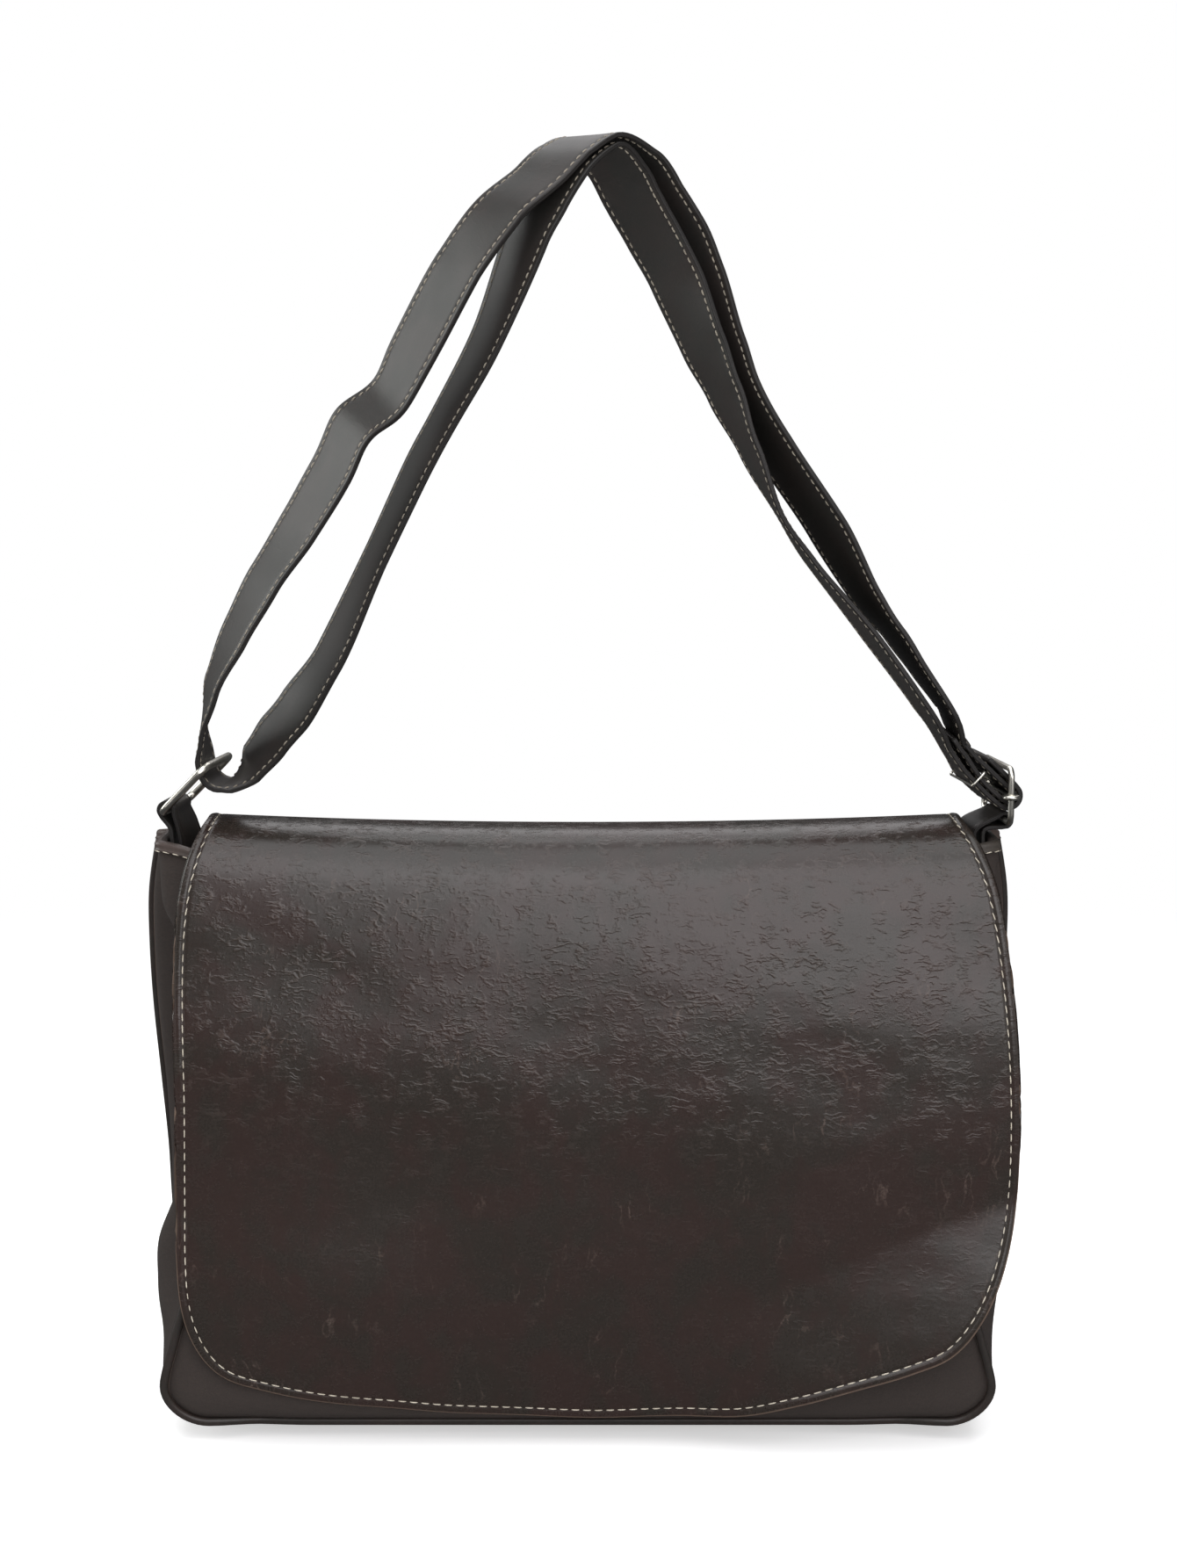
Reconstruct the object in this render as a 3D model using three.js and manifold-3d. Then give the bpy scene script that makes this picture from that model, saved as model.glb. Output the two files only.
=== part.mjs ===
// Soft leather briefcase with a full front flap and a doubled shoulder strap hung from above.
// Millimetres, +Z up, -Y is the front. The origin is where the strap's inner turn rests on a peg.
import * as THREE from 'three';
import { mergeVertices } from 'three/addons/utils/BufferGeometryUtils.js';
import Module from 'manifold-3d';

const wasm = await Module();
wasm.setup();

// Placing of the bag under the strap
const BAG_CENTRE_X = -7.2;
const BASE_SEAM_Z = -568;

// Leather, cord and gaps
const WALL = 2.0;
const FLAP_WALL = 2.3;
const TAB_WALL = 2.0;
const BINDING_WALL = 1.2;
const BINDING_SLACK = 1.0;
const BINDING_HEIGHT = 7;
const PIPING_RADIUS = 2.0;
const PIPING_SIDES = 6;
const SEAM_GAP = 0.95;
const SEAM_INSET = PIPING_RADIUS + SEAM_GAP;
const CLEARANCE = 0.4;

// The bag's shape level by level: half widths at the front and back seams, how far the side puffs
// out between them (minus folds in), and the depth of the two seams.
const LEVELS = [
  { height: 0, frontHalf: 187.0, backHalf: 187.0, puff: 1.8, frontY: -46.0, backY: 44.0 },
  { height: 18, frontHalf: 186.9, backHalf: 188.8, puff: 1.0, frontY: -49.0, backY: 46.0 },
  { height: 41, frontHalf: 181.0, backHalf: 191.0, puff: 3.0, frontY: -50.0, backY: 47.0 },
  { height: 62, frontHalf: 175.0, backHalf: 193.0, puff: 7.0, frontY: -49.5, backY: 47.0 },
  { height: 82, frontHalf: 172.0, backHalf: 194.0, puff: 8.0, frontY: -48.5, backY: 47.0 },
  { height: 106, frontHalf: 170.0, backHalf: 194.8, puff: 3.0, frontY: -47.0, backY: 46.0 },
  { height: 141, frontHalf: 168.5, backHalf: 197.5, puff: -6.0, frontY: -45.5, backY: 44.5 },
  { height: 176, frontHalf: 167.0, backHalf: 200.0, puff: -8.0, frontY: -42.0, backY: 42.0 },
  { height: 206, frontHalf: 166.0, backHalf: 200.8, puff: -4.0, frontY: -37.0, backY: 39.5 },
  { height: 232, frontHalf: 165.5, backHalf: 199.8, puff: 4.0, frontY: -31.5, backY: 36.0 },
  { height: 262, frontHalf: 165.0, backHalf: 194.5, puff: 9.3, frontY: -25.0, backY: 32.5 },
];
const CORNER_RADIUS = 20;
// The base hangs lower between its corners, flat in the middle, and the walls follow it up to a height
const BASE_SAG = 1.2;
const SAG_HALF = 170;
const SAG_RUN = 50;
const SAG_FADE = 60;
const PUFF_RAMP = 0.22;
const GUSSET_MIDDLE = 0.5;
const FRONT_BELLY = 6;
const BACK_BELLY = 4;

// Top edge of the gusset from front seam to back seam, and of the two panels
const GUSSET_TOP = [
  { across: 0, height: 252.5 },
  { across: 0.12, height: 258.5 },
  { across: 0.22, height: 260 },
  { across: 0.5, height: 260 },
  { across: 0.78, height: 260 },
  { across: 1, height: 258 },
];
const FRONT_TOP = 245;
const FRONT_TOP_SAG = 3;
const BACK_TOP = 240;
const BACK_EAR = 18;
const BACK_EAR_START = 0.9;
const BACK_EAR_RUN = 0.06;
const FRONT_PIPING_TOP = FRONT_TOP - BINDING_HEIGHT - 2.5;
const BACK_PIPING_TOP = 250;

// Flap outline: drop, straight length and back length run along the leather from the top of the fold
const FLAP_HALF = 187.5;
const FLAP_FOLD_HALF = 170.7;
const FLAP_LEFT_FLARE = 34;
const FLAP_RIGHT_FLARE = 22;
const FLAP_DROP = 286;
const FLAP_STRAIGHT = 171;
const FLAP_SIDE_LEAN = 7;
const FLAP_LEFT_POWER = 4.0;
const FLAP_RIGHT_POWER = 3.1;
const FLAP_LEAN = 0.048;
const FLAP_SHIFT = 3.0;
const FLAP_DRIFT = 5.8;
const FLAP_DRIFT_RUN = 130;
const FLAP_BACK_LENGTH = 82;
const FLAP_OFF_FRONT = 5.6;
const FLAP_OFF_BACK = 3.8;
const FOLD_BASE = 240;
const FOLD_RISE = 30;
const FOLD_SAG = 4.5;
const FOLD_SAG_FADE = 70;
const FLAP_LINE_END = -30;
const FLAP_LINE_STEP = 4;
const FOLD_STEPS = 16;
// How much lower the hem hangs than its even curve, across the width
const HEM_TRIM = [
  { part: -1, drop: 0 },
  { part: -0.91, drop: 0 },
  { part: -0.8, drop: -4.3 },
  { part: -0.66, drop: -5.4 },
  { part: -0.5, drop: -4.9 },
  { part: -0.36, drop: -2.3 },
  { part: -0.2, drop: 0 },
  { part: 0, drop: 3.3 },
  { part: 0.2, drop: 3.3 },
  { part: 0.34, drop: 4.4 },
  { part: 0.48, drop: 1.8 },
  { part: 0.62, drop: 0.8 },
  { part: 0.75, drop: 3.6 },
  { part: 0.85, drop: 7.8 },
  { part: 0.93, drop: 6 },
  { part: 1, drop: 0 },
];
// Soft swells of the flap: place across and down from the fold, spread each way, how far it stands out
const FLAP_SWELLS = [
  { x: -118, drop: 196, spreadX: 62, spreadDrop: 34, out: 2.4 },
  { x: 112, drop: 190, spreadX: 70, spreadDrop: 42, out: 3.0 },
  { x: -10, drop: 150, spreadX: 60, spreadDrop: 46, out: -1.6 },
  { x: 60, drop: 62, spreadX: 80, spreadDrop: 26, out: 1.6 },
];

// Strap
const STRAP_WIDTH = 38;
const STRAP_WALL = 2.4;
// Depth at which the tabs, ring and slider hang
const HANG_Y = 3.5;

// Left ring: the bar in the tab and the bar in the strap, seen from the front
const RING_WIRE = 1.8;
const RING_TAB_BAR = { x: -191.7, z: -293.4 };
const RING_STRAP_BAR = { x: -171.0, z: -272.4 };
const RING_INNER_LENGTH = 41;
const RING_CORNER = 5;
const RING_TURN = -8;

// Right slider: the sliding bar, the frame round it and the way the strap leaves it
const SLIDER = { x: 184.6, z: -286.0 };
const SLIDER_TURN = 7;
const SLIDER_RISE = 43;
const SLIDER_WIRE = 1.4;
const SLIDER_BAR = 1.2;
const SLIDER_ABOVE = 12.6;
const SLIDER_BELOW = 11.9;
const SLIDER_INNER_LENGTH = 43.4;
const SLIDER_CORNER = 4;
const SLIDER_EYE_WIRE = 1.1;
const LOOP_GAP = 0.35;
const LAYER_GAP = 0.45;
const LOOP_INNER = SLIDER_BAR + LOOP_GAP + STRAP_WALL / 2;
const LOOP_OUTER = LOOP_INNER + STRAP_WALL + LAYER_GAP;

// How finely round and bent pieces are divided
const EYE_STEPS = 12;
const ROUND_SIDES = 10;
const BEND_STEPS = 4;
const STRAP_STEP = 9;
const TAB_STEP = 5;
const FEWEST_STEPS = 2;
const MOST_STEPS = 4;
const LOOP_STEPS = 6;
const WIRE_SIDES = 8;
const radians = THREE.MathUtils.degToRad;

// Leather and metal
const leather = () => new THREE.MeshStandardMaterial({ color: 0x33291f, roughness: 0.5, metalness: 0 });
const leatherLight = () => new THREE.MeshStandardMaterial({ color: 0x3d322b, roughness: 0.48, metalness: 0 });
const pipingLeather = () => new THREE.MeshStandardMaterial({ color: 0x1f1917, roughness: 0.45, metalness: 0 });
const silver = () => new THREE.MeshStandardMaterial({ color: 0xc4c3be, roughness: 0.28, metalness: 1 });
const darkMetal = () => new THREE.MeshStandardMaterial({ color: 0x4a4642, roughness: 0.4, metalness: 1 });

// Smooth value of a table column at a place along its key column
function smooth(table, key, place, column) {
  const last = table.length - 1;
  const inside = Math.min(Math.max(place, table[0][key]), table[last][key]);
  let row = 0;
  while (row < last - 1 && inside > table[row + 1][key]) row += 1;
  const slope = (at) => {
    const before = table[Math.max(at - 1, 0)];
    const after = table[Math.min(at + 1, last)];
    return (after[column] - before[column]) / (after[key] - before[key]);
  };
  const span = table[row + 1][key] - table[row][key];
  const t = (inside - table[row][key]) / span;
  const t2 = t * t;
  const t3 = t2 * t;
  return (2 * t3 - 3 * t2 + 1) * table[row][column] + (t3 - 2 * t2 + t) * span * slope(row)
    + (3 * t2 - 2 * t3) * table[row + 1][column] + (t3 - t2) * span * slope(row + 1);
}

const level = (height, column) => smooth(LEVELS, 'height', height, column);

// Closed mesh from corner points and triangles, turned outward
function solid(points, triangles, material, name) {
  const a = new THREE.Vector3();
  let volume = 0;
  for (const [i, j, k] of triangles) volume += points[i].dot(a.crossVectors(points[j], points[k]));
  const order = volume < 0 ? triangles.map(([i, j, k]) => [i, k, j]) : triangles;
  const geometry = new THREE.BufferGeometry().setFromPoints(points);
  geometry.setIndex(order.flat());
  const mesh = new THREE.Mesh(mergeVertices(geometry, 1e-4), material);
  mesh.name = name;
  return mesh;
}

// Direction a grid of points faces at one of them
function facing(grid, i, j) {
  const along = grid[Math.min(i + 1, grid.length - 1)][j].clone().sub(grid[Math.max(i - 1, 0)][j]);
  const across = grid[i][Math.min(j + 1, grid[i].length - 1)].clone().sub(grid[i][Math.max(j - 1, 0)]);
  return along.cross(across).normalize();
}

// Sheet of even thickness about a grid of points
function sheet(grid, thickness, material, name) {
  const rows = grid.length;
  const columns = grid[0].length;
  const points = [];
  for (const side of [0.5, -0.5]) {
    for (let i = 0; i < rows; i += 1) {
      for (let j = 0; j < columns; j += 1) {
        points.push(grid[i][j].clone().addScaledVector(facing(grid, i, j), side * thickness));
      }
    }
  }
  const under = rows * columns;
  const at = (i, j) => i * columns + j;
  const triangles = [];
  const quad = (a, b, c, d) => triangles.push([a, b, c], [a, c, d]);
  for (let i = 0; i < rows - 1; i += 1) {
    for (let j = 0; j < columns - 1; j += 1) {
      quad(at(i, j), at(i + 1, j), at(i + 1, j + 1), at(i, j + 1));
      quad(under + at(i, j), under + at(i, j + 1), under + at(i + 1, j + 1), under + at(i + 1, j));
    }
    const end = columns - 1;
    quad(at(i + 1, 0), at(i, 0), under + at(i, 0), under + at(i + 1, 0));
    quad(at(i, end), at(i + 1, end), under + at(i + 1, end), under + at(i, end));
  }
  for (let j = 0; j < columns - 1; j += 1) {
    const end = rows - 1;
    quad(at(0, j), at(0, j + 1), under + at(0, j + 1), under + at(0, j));
    quad(at(end, j + 1), at(end, j), under + at(end, j), under + at(end, j + 1));
  }
  return solid(points, triangles, material, name);
}

// Body carried through a row of closed sections; the ends are filled from a list of corner quads
function loft(sections, endQuads, material, name) {
  const size = sections[0].length;
  const points = sections.flat();
  const triangles = [];
  const quad = (a, b, c, d) => triangles.push([a, b, c], [a, c, d]);
  for (let k = 0; k < sections.length - 1; k += 1) {
    for (let i = 0; i < size; i += 1) {
      const next = (i + 1) % size;
      quad(k * size + i, k * size + next, (k + 1) * size + next, (k + 1) * size + i);
    }
  }
  const last = (sections.length - 1) * size;
  for (const [a, b, c, d] of endQuads) {
    quad(d, c, b, a);
    quad(last + a, last + b, last + c, last + d);
  }
  return solid(points, triangles, material, name);
}

// Round bar along points; a closed one joins its ends
function tube(path, radius, sides, reference, closed, material, name) {
  const count = path.length;
  const points = [];
  for (let k = 0; k < count; k += 1) {
    const before = closed ? path[(k + count - 1) % count] : path[Math.max(k - 1, 0)];
    const after = closed ? path[(k + 1) % count] : path[Math.min(k + 1, count - 1)];
    const tangent = after.clone().sub(before).normalize();
    const one = reference.clone().addScaledVector(tangent, -reference.dot(tangent)).normalize();
    const two = tangent.clone().cross(one);
    for (let i = 0; i < sides; i += 1) {
      const angle = (2 * Math.PI * (i + 0.5)) / sides;
      points.push(path[k].clone().addScaledVector(one, radius * Math.cos(angle))
        .addScaledVector(two, radius * Math.sin(angle)));
    }
  }
  const triangles = [];
  const rings = closed ? count : count - 1;
  for (let k = 0; k < rings; k += 1) {
    const here = k * sides;
    const there = ((k + 1) % count) * sides;
    for (let i = 0; i < sides; i += 1) {
      const next = (i + 1) % sides;
      triangles.push([here + i, here + next, there + next], [here + i, there + next, there + i]);
    }
  }
  if (!closed) {
    const end = (count - 1) * sides;
    for (let i = 1; i < sides - 1; i += 1) {
      triangles.push([0, i + 1, i], [end, end + i, end + i + 1]);
    }
  }
  return solid(points, triangles, material, name);
}

// Points along a rounded rectangle centred on a point, in the plane of two directions
function roundedLoop(centre, one, two, halfOne, halfTwo, corner) {
  const points = [];
  for (let quarter = 0; quarter < 4; quarter += 1) {
    const signOne = quarter === 0 || quarter === 3 ? 1 : -1;
    const signTwo = quarter < 2 ? 1 : -1;
    for (let k = 0; k <= BEND_STEPS; k += 1) {
      const angle = (Math.PI / 2) * (quarter + k / BEND_STEPS);
      points.push(centre.clone()
        .addScaledVector(one, signOne * (halfOne - corner) + corner * Math.cos(angle))
        .addScaledVector(two, signTwo * (halfTwo - corner) + corner * Math.sin(angle)));
    }
  }
  return points;
}

// Flat strap of even section through rows of a place and a turn about the vertical, in degrees
function ribbon(rows, width, thickness, stepLength, material, name) {
  const curve = new THREE.CatmullRomCurve3(rows.map((row) => new THREE.Vector3(row.x, row.y, row.z)), false, 'centripetal');
  const spans = rows.length - 1;
  const sections = [];
  const place = (at) => {
    const row = Math.min(Math.floor(at), spans - 1);
    const part = at - row;
    const centre = curve.getPoint(at / spans);
    const tangent = curve.getTangent(at / spans);
    const ease = part * part * (3 - 2 * part);
    const turn = radians(rows[row].turn + (rows[row + 1].turn - rows[row].turn) * ease);
    const across = new THREE.Vector3(-Math.sin(turn), Math.cos(turn), 0);
    across.addScaledVector(tangent, -across.dot(tangent)).normalize();
    const normal = tangent.clone().cross(across);
    sections.push([[-0.5, -0.5], [0.5, -0.5], [0.5, 0.5], [-0.5, 0.5]].map(([w, t]) => centre.clone()
      .addScaledVector(across, w * width).addScaledVector(normal, t * thickness)));
  };
  for (let row = 0; row < spans; row += 1) {
    const from = new THREE.Vector3(rows[row].x, rows[row].y, rows[row].z);
    const gap = from.distanceTo(new THREE.Vector3(rows[row + 1].x, rows[row + 1].y, rows[row + 1].z));
    const steps = THREE.MathUtils.clamp(Math.round(gap / stepLength), FEWEST_STEPS, MOST_STEPS);
    for (let k = 0; k < steps; k += 1) place(row + k / steps);
  }
  place(spans);
  return loft(sections, [[0, 1, 2, 3]], material, name);
}

function toManifold(geometry) {
  const positions = new Float32Array(geometry.attributes.position.array);
  const corners = new Uint32Array(geometry.index.array);
  return new wasm.Manifold(new wasm.Mesh({ numProp: 3, vertProperties: positions, triVerts: corners }));
}

function plain(geometry) {
  const bare = new THREE.BufferGeometry();
  bare.setAttribute('position', geometry.attributes.position.clone());
  bare.setIndex(geometry.index ? geometry.index.clone() : null);
  return mergeVertices(bare, 1e-4);
}

function fromManifold(body, material, name) {
  const { vertProperties, triVerts } = body.getMesh();
  const geometry = new THREE.BufferGeometry();
  geometry.setAttribute('position', new THREE.Float32BufferAttribute(vertProperties, 3));
  geometry.setIndex(Array.from(triVerts));
  const mesh = new THREE.Mesh(geometry, material);
  mesh.name = name;
  return mesh;
}

// Half width of a panel inside its seam at a height, with the rounded bottom corner
function panelHalf(height, column) {
  const half = level(height, column);
  if (height >= CORNER_RADIUS) return half - SEAM_INSET;
  const radius = CORNER_RADIUS - SEAM_INSET;
  const below = CORNER_RADIUS - height;
  return half - CORNER_RADIUS + Math.sqrt(Math.max(radius ** 2 - below ** 2, 0));
}

const ramp = (edge, value) => THREE.MathUtils.smoothstep(value, 0, edge);
const puffShape = (across) => ramp(PUFF_RAMP, across) * ramp(PUFF_RAMP, 1 - across);
const crossing = (across) => 0.5 * (ramp(PUFF_RAMP, across) + 1 - ramp(PUFF_RAMP, 1 - across));
const between = (a, b, t) => a + (b - a) * t;
const sagAt = (x) => BASE_SAG * ramp(SAG_RUN, SAG_HALF - Math.abs(x));
const sagShare = (height) => 1 - ramp(SAG_FADE, height);
const gussetTop = (across) => smooth(GUSSET_TOP, 'across', across, 'height');

// Side of the gusset: a point at a height, part of the way from the front seam to the back seam
function sidePoint(side, height, across) {
  const half = between(level(height, 'frontHalf'), level(height, 'backHalf'), crossing(across))
    + level(height, 'puff') * puffShape(across);
  const depth = between(level(height, 'frontY') + SEAM_INSET, level(height, 'backY') - SEAM_INSET, across);
  return new THREE.Vector3(side * half, depth, height);
}

// Bottom corner and base of the gusset
function cornerPoint(side, angle, across) {
  const half = between(level(0, 'frontHalf'), level(0, 'backHalf'), crossing(across));
  const height = CORNER_RADIUS * (1 - Math.sin(angle));
  const reach = CORNER_RADIUS + level(height, 'puff') * puffShape(across);
  const depth = between(level(height, 'frontY') + SEAM_INSET, level(height, 'backY') - SEAM_INSET, across);
  return new THREE.Vector3(side * (half - CORNER_RADIUS + reach * Math.cos(angle)), depth,
    CORNER_RADIUS - reach * Math.sin(angle));
}

function basePoint(part, across) {
  const half = between(level(0, 'frontHalf'), level(0, 'backHalf'), crossing(across)) - CORNER_RADIUS;
  const depth = between(level(0, 'frontY') + SEAM_INSET, level(0, 'backY') - SEAM_INSET, across);
  return new THREE.Vector3(part * half, depth, -sagAt(part * half) - level(0, 'puff') * puffShape(across));
}

const ACROSS = [0, 0.06, 0.11, 0.16, 0.22, 0.5, 0.78, 0.84, 0.89, 0.94, 1];
const SIDE_STEPS = 15;
const CORNER_STEPS = 5;
const BASE_PARTS = [-1, -0.9, -0.8, -0.7, -0.35, 0, 0.35, 0.7, 0.8, 0.9, 1];

function gussetGrid() {
  const sideRow = (side, k) => ACROSS.map((across) => {
    const top = gussetTop(across);
    const height = k === SIDE_STEPS ? top : between(CORNER_RADIUS, top - BINDING_HEIGHT, k / (SIDE_STEPS - 1));
    return sidePoint(side, height, across);
  });
  const cornerRow = (side, k) => ACROSS.map((across) => cornerPoint(side, (Math.PI / 2) * (k / CORNER_STEPS), across));
  const grid = [];
  for (let k = SIDE_STEPS; k >= 0; k -= 1) grid.push(sideRow(-1, k));
  for (let k = 1; k < CORNER_STEPS; k += 1) grid.push(cornerRow(-1, k));
  for (const part of BASE_PARTS) grid.push(ACROSS.map((across) => basePoint(part, across)));
  for (let k = CORNER_STEPS - 1; k > 0; k -= 1) grid.push(cornerRow(1, k));
  for (let k = 0; k <= SIDE_STEPS; k += 1) grid.push(sideRow(1, k));
  return grid;
}

// Front and back panels inside their seams
const panelBelly = (part, height, top) => (1 - part ** 2) * Math.sin(Math.PI * Math.min(Math.max(height / top, 0), 1));

function frontPoint(part, height) {
  const x = part * panelHalf(height, 'frontHalf');
  const depth = level(height, 'frontY') - FRONT_BELLY * panelBelly(part, height, FRONT_TOP);
  return new THREE.Vector3(x, depth, height - sagAt(x) * sagShare(height));
}

function backPoint(part, height) {
  const x = part * panelHalf(height, 'backHalf');
  const depth = level(height, 'backY') + BACK_BELLY * panelBelly(part, height, BACK_TOP);
  return new THREE.Vector3(x, depth, height - sagAt(x) * sagShare(height));
}

const PANEL_PARTS = [-1, -0.95, -0.85, -0.7, -0.5, -0.25, 0, 0.25, 0.5, 0.7, 0.85, 0.95, 1];
const PANEL_LOW = [SEAM_INSET, 5, 9, 14, 20, 30];
const frontTop = (part) => FRONT_TOP - FRONT_TOP_SAG * (1 - part ** 2);
const backTop = (part) => BACK_TOP + BACK_EAR * ramp(BACK_EAR_RUN, Math.abs(part) - BACK_EAR_START);

function panelGrid(point, top, rows) {
  const low = PANEL_LOW[PANEL_LOW.length - 1];
  const grid = PANEL_LOW.map((height) => PANEL_PARTS.map((part) => point(part, height)));
  for (let k = 1; k <= rows; k += 1) {
    grid.push(PANEL_PARTS.map((part) => point(part, between(low, top(part) - BINDING_HEIGHT, k / rows))));
  }
  grid.push(PANEL_PARTS.map((part) => point(part, top(part))));
  return grid;
}

// Seam line of a panel, down one side, along the base and up the other
function seamLine(column, depth, top) {
  const side = (sign, part) => {
    const height = between(CORNER_RADIUS, top, part);
    return new THREE.Vector3(sign * level(height, column), level(height, depth), height);
  };
  const corner = (sign, k) => {
    const angle = (Math.PI / 2) * (k / CORNER_STEPS);
    const height = CORNER_RADIUS * (1 - Math.sin(angle));
    return new THREE.Vector3(sign * (level(height, column) - CORNER_RADIUS * (1 - Math.cos(angle))), level(height, depth), height);
  };
  const base = (part) => {
    const x = part * (level(0, column) - CORNER_RADIUS);
    return new THREE.Vector3(x, level(0, depth), -sagAt(x));
  };
  const points = [];
  for (let k = SIDE_STEPS; k >= 0; k -= 1) points.push(side(-1, k / SIDE_STEPS));
  for (let k = 1; k < CORNER_STEPS; k += 1) points.push(corner(-1, k));
  for (const part of BASE_PARTS) points.push(base(part));
  for (let k = CORNER_STEPS - 1; k > 0; k -= 1) points.push(corner(1, k));
  for (let k = 0; k <= SIDE_STEPS; k += 1) points.push(side(1, k / SIDE_STEPS));
  return points;
}

// Folded strip over the top edges of the side gussets and the front panel: a hooked section at each
// point of the wall's top edge, from the wall's last two rows
function bindingSection(wall, top, below, j) {
  const inner = WALL / 2 + BINDING_SLACK;
  const outer = inner + BINDING_WALL;
  const high = wall[top][j];
  const low = wall[below][j];
  const up = high.clone().sub(low).normalize();
  const lid = high.clone().addScaledVector(up, BINDING_SLACK);
  const roof = lid.clone().addScaledVector(up, BINDING_WALL);
  const highOut = facing(wall, top, j);
  const lowOut = facing(wall, below, j);
  return [low.clone().addScaledVector(lowOut, outer), roof.clone().addScaledVector(highOut, outer),
    roof.clone().addScaledVector(highOut, -outer), low.clone().addScaledVector(lowOut, -outer),
    low.clone().addScaledVector(lowOut, -inner), lid.clone().addScaledVector(highOut, -inner),
    lid.clone().addScaledVector(highOut, inner), low.clone().addScaledVector(lowOut, inner)];
}

function bindingSections(gusset, front) {
  const sides = gusset[0].length - 1;
  const left = gusset[0].map((_, j) => bindingSection(gusset, 0, 1, sides - j));
  const right = gusset[0].map((_, j) => bindingSection(gusset, gusset.length - 1, gusset.length - 2, j));
  const middle = front[0].map((_, j) => bindingSection(front, front.length - 1, front.length - 2, j));
  return [...left, ...middle, ...right];
}

// Flap: a profile line in depth and height, measured from the top of the fold
function flapProfile() {
  const front = level(FOLD_BASE, 'frontY') - FLAP_OFF_FRONT;
  const back = level(FOLD_BASE, 'backY') + FLAP_OFF_BACK;
  const middle = (front + back) / 2;
  const reach = (back - front) / 2;
  const backLine = [];
  for (let k = 0; k <= FOLD_STEPS; k += 1) {
    const angle = (Math.PI / 2) * (1 - k / FOLD_STEPS);
    backLine.push({ y: middle + reach * Math.cos(angle), z: FOLD_BASE + FOLD_RISE * Math.sin(angle) });
  }
  for (let height = FOLD_BASE - FLAP_LINE_STEP; height > FOLD_BASE - FLAP_BACK_LENGTH; height -= FLAP_LINE_STEP) {
    backLine.push({ y: level(height, 'backY') + FLAP_OFF_BACK, z: height });
  }
  const frontLine = [];
  for (let k = 0; k <= FOLD_STEPS; k += 1) {
    const angle = (Math.PI / 2) * (1 - k / FOLD_STEPS);
    frontLine.push({ y: middle - reach * Math.cos(angle), z: FOLD_BASE + FOLD_RISE * Math.sin(angle) });
  }
  for (let height = FOLD_BASE - FLAP_LINE_STEP; height > FLAP_LINE_END; height -= FLAP_LINE_STEP) {
    frontLine.push({ y: level(height, 'frontY') - FLAP_OFF_FRONT, z: height });
  }
  const measure = (line) => {
    let length = 0;
    return line.map((point, k) => {
      if (k > 0) length += Math.hypot(point.y - line[k - 1].y, point.z - line[k - 1].z);
      return { ...point, length };
    });
  };
  const lines = { front: measure(frontLine), back: measure(backLine) };
  return (drop) => {
    const line = drop < 0 ? lines.back : lines.front;
    const length = Math.abs(drop);
    return { y: smooth(line, 'length', length, 'y'), z: smooth(line, 'length', length, 'z') };
  };
}

function flapGrid() {
  const profile = flapProfile();
  const widthSteps = 11;
  const backRows = 6;
  const frontRows = 19;
  const columns = [];
  for (let k = -widthSteps; k <= widthSteps; k += 1) columns.push(Math.sin((Math.PI / 2) * (k / widthSteps)));
  const grid = [];
  for (let row = 0; row <= backRows + frontRows; row += 1) {
    grid.push(columns.map((part) => {
      const straight = FLAP_STRAIGHT - FLAP_SIDE_LEAN * part;
      const power = part < 0 ? FLAP_LEFT_POWER : FLAP_RIGHT_POWER;
      const rounding = (1 - Math.abs(part) ** power) ** (1 / power);
      const trim = smooth(HEM_TRIM, 'part', part, 'drop');
      const hem = between(straight, FLAP_DROP, rounding) - FLAP_LEAN * part * FLAP_HALF + trim;
      const drop = row < backRows ? -FLAP_BACK_LENGTH * (1 - row / backRows) : hem * ((row - backRows) / frontRows);
      const { y, z } = profile(drop);
      const down = drop < 0 ? 0 : FOLD_BASE + FOLD_RISE - z;
      const flare = between(FLAP_LEFT_FLARE, FLAP_RIGHT_FLARE, (part + 1) / 2);
      const half = FLAP_HALF - (FLAP_HALF - FLAP_FOLD_HALF) * Math.exp(-down / flare);
      const x = part * half + FLAP_SHIFT + FLAP_DRIFT * ramp(FLAP_DRIFT_RUN, down);
      const belly = drop < 0 ? -BACK_BELLY * panelBelly(part, z, BACK_TOP) : FRONT_BELLY * panelBelly(part, z, FRONT_TOP);
      let swell = 0;
      for (const lump of FLAP_SWELLS) {
        swell += lump.out * Math.exp(-(((x - lump.x) / lump.spreadX) ** 2) - ((drop - lump.drop) / lump.spreadDrop) ** 2);
      }
      const sag = FOLD_SAG * (1 - part ** 2) * Math.exp(-Math.abs(drop) / FOLD_SAG_FADE);
      return new THREE.Vector3(x, y - belly - swell, z - sag);
    }));
  }
  return grid;
}

// Tab: a strip sewn inside the gusset, up round a bar and down again
const TAB_WIDTH = 27;
const TAB_LOW = 234;
const TAB_RISE = 12;
const TAB_NECK = 265.6;
const TAB_NECK_TURN = 0.3;
// The tab's inner strand stands off the outer one and is turned further, row by row and at the neck
const TAB_OPEN = [{ spread: 0, turn: 0 }, { spread: 5, turn: 1.6 }, { spread: 4.4, turn: 1.7 }];
const TAB_NECK_OPEN = { spread: 2.8, turn: 1.4 };
const TAB_LOOP = { start: 115, sweep: 245, steps: 6 };

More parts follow.
